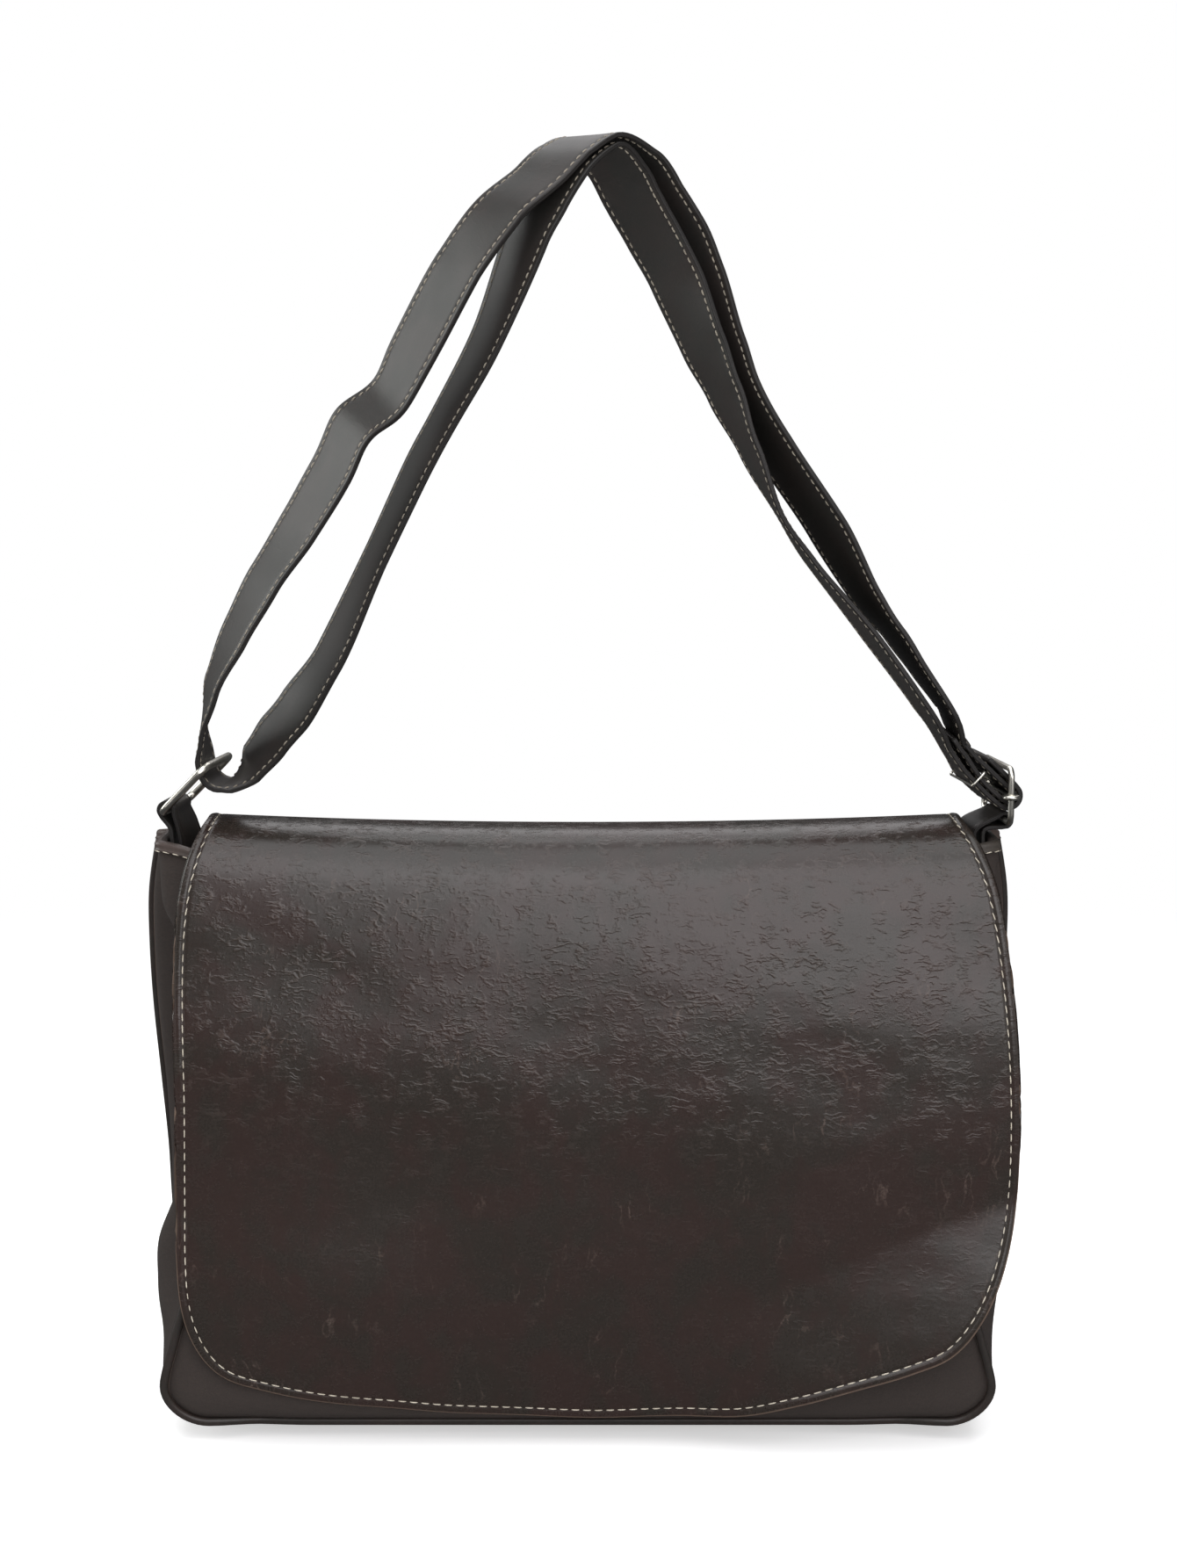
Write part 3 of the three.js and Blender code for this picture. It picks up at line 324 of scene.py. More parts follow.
def facing(grid):
    """Direction that a grid of points faces at each of them."""
    return unit(np.cross(np.gradient(grid, axis=0), np.gradient(grid, axis=1)))


def run_along(points):
    """Distance of each point from the first, along the line through them."""
    return np.r_[0, np.cumsum(np.linalg.norm(np.diff(points, axis=0), axis=1))]


def ripples(u, v, seed, count, shortest, longest, stretch):
    """Soft unevenness about zero: sine waves of mixed length and direction, longer along u."""
    rng = np.random.default_rng(seed)
    length = rng.uniform(shortest, longest, count)
    turn = rng.uniform(0, 2 * np.pi, count)
    phase = rng.uniform(0, 2 * np.pi, count)
    along = np.cos(turn) / (length * stretch)
    down = np.sin(turn) / length
    waves = np.sin(2 * np.pi * (u[..., None] * along + v[..., None] * down) + phase)
    return waves.sum(axis=-1) / math.sqrt(count)


def swells(table, x, y):
    """Sum of soft swells: each a bell curve with its own spread both ways."""
    return sum(out * np.exp(-((x - at_x) / wide) ** 2 - ((y - at_y) / high) ** 2)
               for at_x, at_y, wide, high, out in table)


def grid_quads(index, wrap=False):
    """Quads over a grid of point numbers, joined round where it wraps."""
    if wrap:
        index = np.concatenate([index, index[:, :1]], axis=1)
    corners = (index[:-1, :-1], index[1:, :-1], index[1:, 1:], index[:-1, 1:])
    return np.stack(corners, axis=-1).reshape(-1, 4)


def shape(points, faces, flat, cut):
    """One closed surface: its points, faces, places on the flat leather and share of cut edge."""
    return {"points": points.reshape(-1, 3), "faces": faces, "flat": flat.reshape(-1, 3), "cut": cut.ravel()}


def joined(shapes):
    """Several surfaces as one."""
    starts = np.cumsum([0] + [len(one["points"]) for one in shapes])
    faces = [[corner + start for corner in face]
             for one, start in zip(shapes, starts) for face in one["faces"]]
    points, flat, cut = (np.concatenate([one[key] for one in shapes]) for key in ("points", "flat", "cut"))
    return shape(points, faces, flat, cut)


def leather_sheet(middle, flat, wall, emboss=0):
    """Closed sheet about a middle surface: each face lies half a wall off it along its own direction, the
    outer one also raised by the emboss, and the rim between them is half round."""
    rows, columns = middle.shape[:2]
    count = rows * columns
    out = facing(middle)
    raised = np.broadcast_to(wall / 2 + emboss, (rows, columns))
    outer = (middle + out * raised[..., None]).reshape(-1, 3)
    inner = (middle - out * wall / 2).reshape(-1, 3)
    index = np.arange(count).reshape(rows, columns)
    loop = np.r_[index[0, :-1], index[:-1, -1], index[-1, :0:-1], index[:0:-1, 0]]
    edge = 0.5 * (outer[loop] + inner[loop])
    half = 0.5 * (outer[loop] - inner[loop])
    along = unit(np.roll(edge, -1, axis=0) - np.roll(edge, 1, axis=0))
    bulge = np.cross(unit(half), along) * RIM_BULGE * np.linalg.norm(half, axis=1, keepdims=True)
    angles = np.linspace(np.pi / 2, -np.pi / 2, RIM_STEPS + 2)[1:-1, None, None]
    rim = edge + np.sin(angles) * half + np.cos(angles) * bulge
    rings = 2 * count + np.arange(RIM_STEPS * len(loop)).reshape(RIM_STEPS, -1)
    rim_quads = grid_quads(np.vstack([loop, rings, count + loop]), wrap=True)[:, (0, 3, 2, 1)]
    face = grid_quads(index)
    faces = np.concatenate([face, face[:, ::-1] + count, rim_quads]).tolist()
    places = flat.reshape(-1, 2)
    places = np.vstack([places, places, np.tile(places[loop], (RIM_STEPS, 1))])
    side = np.r_[np.ones(count), -np.ones(count), np.repeat(np.sin(angles), len(loop))]
    cut = np.r_[np.zeros(2 * count), np.ones(rings.size)]
    cut[loop] = RIM_CUT
    points = np.concatenate([outer, inner, rim.reshape(-1, 3)])
    return shape(points, faces, np.column_stack([places, side * wall / 2]), cut)


def carried(sections, flat, cut=0, closed=False):
    """Surface through a row of closed sections, its two ends filled unless it is closed."""
    index = np.arange(sections[..., 0].size).reshape(sections.shape[:2])
    ends = [index[0].tolist(), index[-1, ::-1].tolist()]
    if closed:
        index = np.vstack([index, index[:1]])
        ends = []
    cut = np.broadcast_to(cut, sections.shape[:2])
    return shape(sections, grid_quads(index, wrap=True).tolist() + ends, flat, cut)


def round_bar(path, radius, sides, reference, closed=False):
    """Round bar along a path: a circle square to the path at each of its points."""
    tangent = np.gradient(path, axis=0)
    if closed:
        tangent = np.roll(path, -1, axis=0) - np.roll(path, 1, axis=0)
    tangent = unit(tangent)
    one = square_to(reference, tangent)
    two = np.cross(tangent, one)
    angle = 2 * np.pi * (np.arange(sides) + 0.5) / sides
    ring = radius * vectors(np.cos(angle), np.sin(angle))
    sections = path[:, None] + ring[:, :1] * one[:, None] + ring[:, 1:] * two[:, None]
    return carried(sections, vectors(run_along(path)[:, None], *ring.T), 0, closed)


def wire_loop(centre, one, two, half_one, half_two, corner, wire, sides=WIRE_SIDES, steps=8):
    """Wire round a rectangle with round corners, in the plane of two directions."""
    quarter = np.repeat(np.arange(4), steps + 1)
    angle = (np.pi / 2) * (quarter + np.tile(np.arange(steps + 1) / steps, 4))
    sign_one = np.where((quarter == 0) | (quarter == 3), 1, -1)
    sign_two = np.where(quarter < 2, 1, -1)
    reach_one = sign_one * (half_one - corner) + corner * np.cos(angle)
    reach_two = sign_two * (half_two - corner) + corner * np.sin(angle)
    path = centre + reach_one[:, None] * one + reach_two[:, None] * two
    return round_bar(path, wire, sides, np.cross(one, two), True)


def turned(degrees):
    """Level direction across a strap that is turned about the vertical."""
    angle = math.radians(degrees)
    return np.array((-math.sin(angle), math.cos(angle), 0))


def add_piece(name, form, finish, replaced=(), place=(0, 0, 0)):
    """Mesh piece of a surface, faces outward, on the one body, standing for its solids."""
    points = (form["points"] + np.asarray(place)) * MM
    mesh = bpy.data.meshes.new(name)
    mesh.from_pydata(points.tolist(), [], form["faces"])
    flat = mesh.attributes.new("flat", "FLOAT_VECTOR", "POINT")
    flat.data.foreach_set("vector", form["flat"].astype(np.float32).ravel())
    cut = mesh.attributes.new("cut", "FLOAT", "POINT")
    cut.data.foreach_set("value", form["cut"].astype(np.float32))
    mesh.update()
    mesh.calc_loop_triangles()
    corners = np.empty(3 * len(mesh.loop_triangles), np.int32)
    mesh.loop_triangles.foreach_get("vertices", corners)
    a, b, c = points[corners.reshape(-1, 3).T] - points.mean(axis=0)
    if np.einsum("ij,ij->", a, np.cross(b, c)) < 0:
        mesh.flip_normals()
    mesh.polygons.foreach_set("use_smooth", np.ones(len(mesh.polygons), bool))
    mesh.materials.append(finish.material)
    piece = bpy.data.objects.new(name, mesh)
    bpy.context.scene.collection.objects.link(piece)
    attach(piece, "root")
    if replaced:
        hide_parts(*replaced)


def sag_at(x):
    """How far the base hangs: full in the middle, none at the corners."""
    return BASE_SAG * ramp(SAG_RUN, SAG_HALF - np.abs(x))


def base_tuck(x, height):
    """How far the front seam lies back under the panel: full along the base, none at the corners."""
    return BASE_TUCK * ramp(TUCK_RUN, TUCK_HALF - np.abs(x)) * (1 - ramp(TUCK_FADE, height))


def seam_curl(distance):
    """How far a wall turns inward by its seam, from its distance to it."""
    return SEAM_CURL * (1 - ramp(SEAM_CURL_RUN, distance - SEAM_REACH))


def belly(part, height, top):
    """Share of a panel's belly: an arch across and half a sine wave up to the top."""
    return (1 - part**2) * np.sin(np.pi * np.clip(height / top, 0, 1))


def panel_point(part, height, side):
    """Point of a panel: across by its part of the width at that height, round at the lower corners, bellied
    outward in the middle, and turned in at the seam."""
    outward, deep, top = PANELS[side]
    half = level(height, side + "_half")
    below = np.maximum(CORNER - height, 0)
    x = part * (half - CORNER + np.sqrt(np.maximum((CORNER - SEAM_REACH)**2 - below**2, 0)))
    over = np.maximum(np.abs(x) - half + CORNER, 0)
    distance = CORNER - np.hypot(over, below)
    out = deep * belly(part, height, top) - seam_curl(distance)
    if side == "front":
        swollen = swells(PANEL_SWELLS, x, height) * ramp(PANEL_SWELL_RUN, distance - SEAM_REACH)
        out = out + swollen - base_tuck(x, height + TUCK_LOW)
    z = height - sag_at(x) * (1 - ramp(SAG_FADE, height))
    return vectors(x, level(height, side + "_y") + outward * out, z)


def front_top(part):
    """Top edge of the front panel, a little lower in the middle."""
    return FRONT_TOP - FRONT_TOP_SAG * (1 - part**2)


def back_top(part):
    """Top edge of the back panel, raised to an ear at each end."""
    return BACK_TOP + BACK_EAR * ramp(BACK_EAR_RUN, np.abs(part) - BACK_EAR_START)


def panel(side, top):
    """Panel as a sheet: parts of its width that crowd at the sides, by heights that crowd at the base."""
    spread = np.linspace(-1, 1, PANEL_COLUMNS)
    part = 0.6 * np.sin(spread * np.pi / 2) + 0.4 * spread
    width, rise = np.meshgrid(part, np.linspace(0, 1, PANEL_ROWS) ** 1.5)
    height = between(SEAM_REACH, top(width), rise)
    middle = panel_point(width, height, side)
    return leather_sheet(middle, vectors(middle[..., 0], height), WALL)


def gusset_half(height, across):
    """Half width of the gusset, from the front seam's to the back one's in two steps by the seams."""
    step = 0.5 * (ramp(PUFF_RAMP, across) + 1 - ramp(PUFF_RAMP, 1 - across))
    return between(level(height, "front_half"), level(height, "back_half"), step)


def gusset_puff(height, across, curl=True):
    """How far the gusset stands out: the puff of that height between the seams, less its turn at them."""
    puff = level(height, "puff") * ramp(PUFF_RAMP, across) * ramp(PUFF_RAMP, 1 - across)
    width = level(height, "back_y") - level(height, "front_y")
    return puff - curl * seam_curl(np.minimum(across, 1 - across) * width + SEAM_REACH)


def gusset_depth(height, across):
    """Depth of the gusset from seam to seam at a height."""
    return between(level(height, "front_y") + SEAM_REACH, level(height, "back_y") - SEAM_REACH, across)


def gusset_top(across):
    """Height of the gusset's top edge from the front seam to the back one."""
    return smooth(GUSSET_TOP_ACROSS, GUSSET_TOP_HEIGHT, across)


def side_point(side, height, across, curl=True):
    """Side of the gusset: its half width at that height, with the puff."""
    half = gusset_half(height, across) + gusset_puff(height, across, curl)
    return vectors(side * half, gusset_depth(height, across), height)


def corner_point(side, angle, across):
    """Bottom corner of the gusset: a quarter turn with the puff added to its radius."""
    height = CORNER * (1 - np.sin(angle))
    reach = CORNER + gusset_puff(height, across)
    x = side * (gusset_half(0, across) - CORNER + reach * np.cos(angle))
    return vectors(x, gusset_depth(height, across), CORNER - reach * np.sin(angle))


def base_point(part, across):
    """Base of the gusset between the corners, sagging a little."""
    x = part * (gusset_half(0, across) - CORNER)
    depth = gusset_depth(0, across) + base_tuck(x, 0) * (1 - ramp(TUCK_ACROSS, across))
    return vectors(x, depth, -sag_at(x) - gusset_puff(0, across))


def gusset_middle():
    """Gusset from its left top edge down, along the base and up to its right top edge."""
    spread = np.linspace(0, 1, GUSSET_COLUMNS)
    across = 0.5 * spread + 0.25 * (1 - np.cos(np.pi * spread))
    height = between(CORNER, gusset_top(across), np.linspace(1, 0, SIDE_ROWS)[:, None])
    angle = np.linspace(0, np.pi / 2, CORNER_ROWS)[1:-1, None]
    part = np.linspace(-1, 1, BASE_ROWS)[:, None]
    return np.concatenate([
        side_point(-1, height, across), corner_point(-1, angle, across), base_point(part, across),
        corner_point(1, angle[::-1], across), side_point(1, height[::-1], across)])


def gusset_fold(across, height):
    """How far the side wall folds inward between its seams at middle height, deepest nearer the back."""
    starts = ramp(SIDE_FOLD_LOW_RUN, height - SIDE_FOLD_LOW) * ramp(SIDE_FOLD_FRONT_RUN, across)
    ends = 1 - ramp(SIDE_FOLD_HIGH_RUN, height - SIDE_FOLD_HIGH)
    return SIDE_FOLD * starts * ends * (1 - ramp(SIDE_FOLD_BACK_RUN, across - SIDE_FOLD_BACK))


def gusset():
    """Gusset sheet: the strip's middle surface with its inward fold and a little unevenness."""
    middle = gusset_middle()
    from_front = middle[..., 1] - middle[:, :1, 1]
    to_back = middle[:, -1:, 1] - middle[..., 1]
    fold = gusset_fold(from_front / (from_front + to_back), middle[..., 2])
    middle[..., 0] -= np.sign(middle[..., 0]) * fold
    flat = vectors(middle[..., 1], run_along(middle[:, GUSSET_COLUMNS // 2])[:, None])
    uneven = GUSSET_UNEVEN * ripples(flat[..., 0], flat[..., 1], 11, 10, 26, 60, 1.6)
    calm = ramp(GUSSET_CALM, np.minimum(from_front, to_back))
    return leather_sheet(middle + facing(middle) * (uneven * calm)[..., None], flat, WALL)


def seam_cord(side, top):
    """Cord in the seam of a panel: down one side, along the base and up the other side."""
    half = side + "_half"
    depth = side + "_y"
    height = between(CORNER, top, np.linspace(1, 0, 90))
    left = vectors(-level(height, half), level(height, depth), height)
    angle = np.linspace(0, np.pi / 2, CORNER_ROWS)[1:-1]
    low = CORNER * (1 - np.sin(angle))
    bend = vectors(CORNER * (1 - np.cos(angle)) - level(low, half), level(low, depth), low)
    x = np.linspace(-1, 1, 60) * (level(0, half) - CORNER)
    tuck = base_tuck(x, 0) if side == "front" else 0
    base = vectors(x, level(0, depth) + tuck, -sag_at(x))
    mirror = np.array((-1, 1, 1))
    path = np.concatenate([left, bend, base, bend[::-1] * mirror, left[::-1] * mirror])
    return round_bar(path, PIPING_RADIUS, PIPING_SIDES, np.array((0, 1, 0)))


def binding():
    """Folded strip over the top edges of the side gussets and the front panel: an upside down U whose roof
    is half round, carried along the edges. Also gives the line of its stitches."""
    across = np.linspace(0, 1, 40)
    part = np.linspace(-1, 1, 90)
    leg = np.array(((BINDING_SHOWN,), (0,)))
    left, right = (side_point(side, gusset_top(order) - leg, order, False)
                   for side, order in ((-1, across[::-1]), (1, across)))
    rise = front_top(part) - leg
    half = level(rise, "front_half") - PIPING_RADIUS - SEAM_GAP
    depth = level(rise, "front_y") - FRONT_BELLY * belly(part, rise, FRONT_TOP)
    low, high = np.concatenate([left, vectors(part * half, depth, rise), right], axis=1)
    up = unit(high - low)
    along = unit(np.gradient(0.5 * (low + high), axis=0))
    out = unit(np.cross(along, up))
    inner = WALL / 2 + BINDING_SLACK / 2
    outer = inner + BINDING_WALL
    run = run_along(high)
    slim = between(BINDING_END, 1, ramp(BINDING_END_RUN, np.minimum(run, run[-1] - run)))[:, None]
    roof = np.linspace(0, np.pi, 11)
    climb = np.linspace(0, 1, 5)[:-1]
    dent = np.array((0.35, 0, -0.3, 0))
    offset = np.r_[outer + dent, outer * np.cos(roof), -outer - dent[::-1], -inner, -inner, 0, inner, inner]
    offset = offset * slim
    share = np.r_[climb, 0 * roof + 1, climb[::-1], 0, 1, 1, 1, 0]
    lift = np.r_[0 * climb, (outer - WALL / 2) * np.sin(roof), 0 * climb, 0, 0, 0.4, 0, 0]
    sections = between(low[:, None], high[:, None], share[:, None])
    sections = sections + out[:, None] * offset[..., None] + up[:, None] * lift[:, None]
    flat = vectors(run[:, None], share * BINDING_SHOWN, offset)
    return carried(sections, flat), (low + out * (slim * outer + 0.1), along, out)


def flap_lines():
    """The flap's run, depth and height from the top of the fold, forward and back: to the front a cubic that
    leaves the fold level and meets the panel's slope, down the back a quarter of an ellipse, then each a
    fixed distance off its panel."""
    front = level(FOLD_BASE, "front_y") - FLAP_OFF_FRONT
    back = level(FOLD_BASE, "back_y") + FLAP_OFF_BACK
    middle = (front + back) / 2
    angle = np.linspace(np.pi / 2, 0, 17)
    ellipse = vectors(middle + (back - middle) * np.cos(angle), FOLD_BASE + FOLD_RISE * np.sin(angle))
    high = np.array((middle, FOLD_BASE + FOLD_RISE))
    low = np.array((level(FOLD_JOIN, "front_y") - FLAP_OFF_FRONT, FOLD_JOIN))
    slope = level(FOLD_JOIN - 1, "front_y") - level(FOLD_JOIN + 1, "front_y")
    pulls = (high - np.array((FOLD_HIGH_PULL, 0)), low + FOLD_LOW_PULL * unit(np.array((-slope, 2))))
    t = np.linspace(0, 1, 24)
    weights = vectors((1 - t)**3, 3 * (1 - t)**2 * t, 3 * (1 - t) * t**2, t**3)
    bend = weights @ np.stack([high, *pulls, low])
    lines = []
    for fold, column, off, first, end in (
            (bend, "front_y", -FLAP_OFF_FRONT, FOLD_JOIN - 1, FLAP_LINE_END),
            (ellipse, "back_y", FLAP_OFF_BACK, FOLD_BASE - FLAP_LINE_STEP, FOLD_BASE - FLAP_BACK)):
        height = np.arange(first, end, -FLAP_LINE_STEP)
        line = np.vstack([fold, vectors(level(height, column) + off, height)])
        lines.append((run_along(line), *line.T))
    return lines


FLAP_LINES = flap_lines()


def flap_hem(part):
    """Drop of the hem at a part of the width: a straight side, then a corner rounded by a power curve, the
    whole hem leaning a little."""
    straight = FLAP_STRAIGHT - FLAP_SIDE_LEAN * part
    power = np.where(part < 0, FLAP_LEFT_POWER, FLAP_RIGHT_POWER)
    rounding = np.maximum(1 - np.abs(part) ** power, 0) ** (1 / power)
    trim = smooth(HEM_TRIM_PART, HEM_TRIM_DROP, part)
    return between(straight, FLAP_DROP, rounding) - FLAP_LEAN * part * FLAP_HALF + trim


def flap_profile(drop):
    """Depth and height of the flap's line at a drop; a drop below zero runs down the back."""
    front, back = ([smooth(run, values, np.abs(drop)) for values in line] for run, *line in FLAP_LINES)
    return [np.where(drop < 0, behind, ahead) for ahead, behind in zip(front, back)]


def flap_width(part, drop):
    """Half width and middle of the flap at a drop: it flares below the fold and drifts to one side."""
    z = flap_profile(drop)[1]
    down = np.where(drop < 0, 0, FOLD_BASE + FOLD_RISE - z)
    flare = between(FLAP_LEFT_FLARE, FLAP_RIGHT_FLARE, (part + 1) / 2)
    half = FLAP_HALF - (FLAP_HALF - FOLD_HALF) * np.exp(-down / flare)
    return half, FLAP_SHIFT + FLAP_DRIFT * ramp(FLAP_DRIFT_RUN, down)


def flap_point(part, drop):
    """Point of the flap: its line carried across, bellied as the panel under it, with soft swells, a lower
    right that stands off, a sag at the fold and a little unevenness."""
    y, z = flap_profile(drop)
    half, middle = flap_width(part, drop)
    x = part * half + middle
    front_belly = FRONT_BELLY * belly(part, z, FLAP_BELLY_TOP)
    out = np.where(drop < 0, -BACK_BELLY * belly(part, z, BACK_TOP), front_belly)
    past = np.maximum(drop - KICK_START - KICK_SLANT * (KICK_SIDE - x), 0)
    kick = KICK_SLOPE * ramp(KICK_RUN, x - KICK_FROM) * past**2 / (past + KICK_EASE)
    uneven = FLAP_UNEVEN * ripples(x, drop, 3, 12, 55, 120, 1.6)
    uneven = uneven + FLAP_FINE_UNEVEN * ripples(x, drop, 5, 14, 16, 36, 1.8)
    out = out + swells(FLAP_SWELLS, x, drop) + kick + ramp(FLAP_CALM, drop) * uneven
    sag = FOLD_SAG * (1 - part**2) * np.exp(-np.abs(drop) / FOLD_SAG_FADE)
    return vectors(x, y - out, z - sag)


def flap_edge_distance(part, drop):
    """About how far a place on the flap is from its nearest edge."""
    low = np.clip(part - 1e-4, -1, 1)
    high = np.clip(part + 1e-4, -1, 1)
    slope = (flap_hem(high) - flap_hem(low)) / ((high - low) * FLAP_HALF)
    hem = (flap_hem(part) - drop) / np.sqrt(1 + slope**2)
    side = (1 - np.abs(part)) * flap_width(part, drop)[0]
    return np.minimum(np.minimum(hem, side), drop + FLAP_BACK)


def flap():
    """Flap sheet: columns crowd at the sides and rows at the hem, where the stitches press a groove and the
    rim stands up as a soft roll."""
    near = np.array((0, 0.02, 0.06, 0.12, 0.2, 0.3, 0.45, 0.6, 0.8, 1, 1.3, 1.6, 2, 2.4, 2.8, 3.2, 3.6, 4,
                     4.5, 5.2, 6, 7, 8.2)) / FLAP_HALF
    dense = np.linspace(-1 + near[-1] * 1.15, 1 - near[-1] * 1.15, 2001)
    length = run_along(vectors(dense * FLAP_HALF, flap_hem(dense)))
    inside = np.interp(np.linspace(0, length[-1], 128), length, dense)
    columns = np.r_[-1 + near, inside, 1 - near[::-1]]
    hem = flap_hem(columns)
    hem_gap = np.array((9, 7.6, 6.4, 5.4, 4.7, 4.1, 3.6, 3.1, 2.5, 1.8, 1.1, 0.5, 0))[:, None]
    back = -FLAP_BACK * (1 - np.linspace(0, 1, 34, endpoint=False))[:, None]
    front_share = np.linspace(0, 1, 130, endpoint=False)[:, None]
    drop = np.concatenate([back + 0 * hem, front_share * (hem - hem_gap[0]), hem - hem_gap])
    part = np.broadcast_to(columns, drop.shape)
    middle = flap_point(part, drop)
    distance = flap_edge_distance(part, drop)
    groove = -FLAP_GROOVE * np.exp(-((distance - FLAP_INSET) / FLAP_GROOVE_HALF) ** 2)
    roll = FLAP_ROLL * np.sin(np.pi * np.clip(distance / FLAP_INSET, 0, 1))
    return leather_sheet(middle, vectors(middle[..., 0], drop), FLAP_WALL, groove + roll)


def even_places(points, pitch):
    """Places along a line at an even pitch, as fractional point numbers."""
    run = run_along(points)
    return np.interp(np.arange(pitch / 2, run[-1], pitch), run, np.arange(len(points)))


def taken(values, places):
    """Rows of a table of vectors at fractional row numbers."""
    return vectors(*(np.interp(places, np.arange(len(values)), column) for column in values.T))


def stitches(centre, along, out, length, thickness):
    """Row of stitches: each a short thread that rises out of the leather and dives in again, six sided and
    pinched at both ends."""
    share = np.array((-1, -0.82, -0.4, 0.4, 0.82, 1))
    reach = share * length / 2
    along = unit(along)
    out = square_to(out, along)
    side = np.cross(out, along)
    lift = thickness * (0.75 * (1 - share**4) - 0.7)
    radius = thickness * np.sqrt(np.maximum(1 - share**4, 0.04))
    angle = 2 * np.pi * np.arange(STITCH_SIDES) / STITCH_SIDES
    spine = centre[:, None] + along[:, None] * reach[:, None] + out[:, None] * lift[:, None]
    ring = np.cos(angle)[:, None] * side[:, None] + np.sin(angle)[:, None] * out[:, None]
    points = spine[:, :, None] + radius[:, None, None] * ring[:, None]
    index = np.arange(len(share) * STITCH_SIDES).reshape(len(share), STITCH_SIDES)
    first = (np.arange(len(centre)) * index.size)[:, None, None]
    quads = (grid_quads(index, wrap=True) + first).reshape(-1, 4).tolist()
    caps = (np.stack([index[0], index[-1, ::-1]]) + first).reshape(-1, STITCH_SIDES).tolist()
    run = np.arange(len(centre))[:, None, None] * length + reach[:, None]
    flat = vectors(run, np.cos(angle) * thickness, np.sin(angle) * thickness)
    return shape(points, quads + caps, flat, np.zeros(flat.shape[:3]))


def flap_frame(part, drop, direction):
    """Outer face of the flap at some places, with the direction of a line on it and its own."""
    step = 0.25
    width = flap_width(part, drop)[0]
    across = flap_point(part + step / width, drop) - flap_point(part - step / width, drop)
    down = flap_point(part, drop + step) - flap_point(part, drop - step)
    out = unit(np.cross(down, across))
    along = across * direction[:, :1] + down * direction[:, 1:]
    return flap_point(part, drop) + out * (FLAP_WALL / 2 - FLAP_STITCH_DEPTH), unit(along), out


def flap_stitches():
    """Stitch line an even distance inside the flap's edge, over the fold and round the hem, with a second
    line along the seam at the back."""
    end = FLAP_BACK - FLAP_INSET - 1
    dense = np.sin(np.linspace(-np.pi / 2, np.pi / 2, 1500))[1:-1]
    left, right = (np.linspace(-end, flap_hem(np.array(side)), 160) for side in (-1, 1))
    part = np.r_[0 * left - 1, dense, 0 * right + 1]
    drop = np.r_[left, flap_hem(dense), right[::-1]]
    half, middle = flap_width(part, drop)
    outline = vectors(part * half + middle, drop)
    outline = taken(outline, even_places(outline, 1))
    direction = unit(np.gradient(outline, axis=0))
    inward = np.pad(direction[:, ::-1] * (1, -1), ((3, 3), (0, 0)), mode="edge")
    inward = unit(vectors(*(np.convolve(column, np.ones(7) / 7, mode="valid") for column in inward.T)))
    line = outline + inward * FLAP_INSET
    line = taken(line, even_places(line, FLAP_PITCH))
    direction = unit(np.gradient(line, axis=0))
    spot = line[:, 0] / FLAP_HALF
    for _ in range(4):
        half, middle = flap_width(spot, line[:, 1])
        spot = (line[:, 0] - middle) / half
    back = np.arange(-FOLD_HALF + 6, FOLD_HALF - 5, FLAP_PITCH) / FOLD_HALF
    direction = np.vstack([direction, np.tile((1, 0), (len(back), 1))])
    rows = flap_frame(np.r_[spot, back], np.r_[line[:, 1], 0 * back - end], direction)
    return stitches(*rows, FLAP_PITCH * FLAP_THREAD_SHARE, FINE_THREAD)


def curve_through(points, at):
    """Place and direction on a smooth curve through rows of points, at fractional row numbers: a cubic
    between two rows with slopes from both neighbours, weighed by the root of the distance between rows."""
    full = np.vstack([2 * points[:1] - points[1:2], points, 2 * points[-1:] - points[-2:-1]])
    row = np.clip(np.floor(at).astype(int), 0, len(points) - 2)
    p0, p1, p2, p3 = (full[row + k] for k in range(4))
    pairs = ((p0, p1), (p1, p2), (p2, p3))
    d0, d1, d2 = (np.linalg.norm(b - a, axis=1, keepdims=True) ** 0.5 for a, b in pairs)
    start = ((p1 - p0) / d0 - (p2 - p0) / (d0 + d1) + (p2 - p1) / d1) * d1
    end = ((p2 - p1) / d1 - (p3 - p1) / (d1 + d2) + (p3 - p2) / d2) * d1
    t = (at - row)[:, None]
    cubic = 2 * p1 - 2 * p2 + start + end
    square = -3 * p1 + 3 * p2 - 2 * start - end
    place = cubic * t**3 + square * t**2 + start * t + p1
    return place, unit(3 * cubic * t**2 + 2 * square * t + start)


def ribbon_frame(rows, step):
    """Middle line of a flat strap with its direction, the direction across it and the one it faces."""
    rows = np.asarray(rows, float)
    gaps = np.linalg.norm(np.diff(rows[:, :3], axis=0), axis=1)
    counts = np.maximum(np.ceil(gaps / step), 3).astype(int)
    at = np.concatenate([row + np.arange(count) / count for row, count in enumerate(counts)] + [[len(gaps)]])
    place, along = curve_through(rows[:, :3], at)
    row = np.clip(np.floor(at).astype(int), 0, len(gaps) - 1)
    turn = np.radians(between(rows[row, 3], rows[row + 1, 3], ramp(1, at - row)))
    across = square_to(vectors(-np.sin(turn), np.cos(turn), 0), along)
    return [place, along, across, np.cross(along, across)]


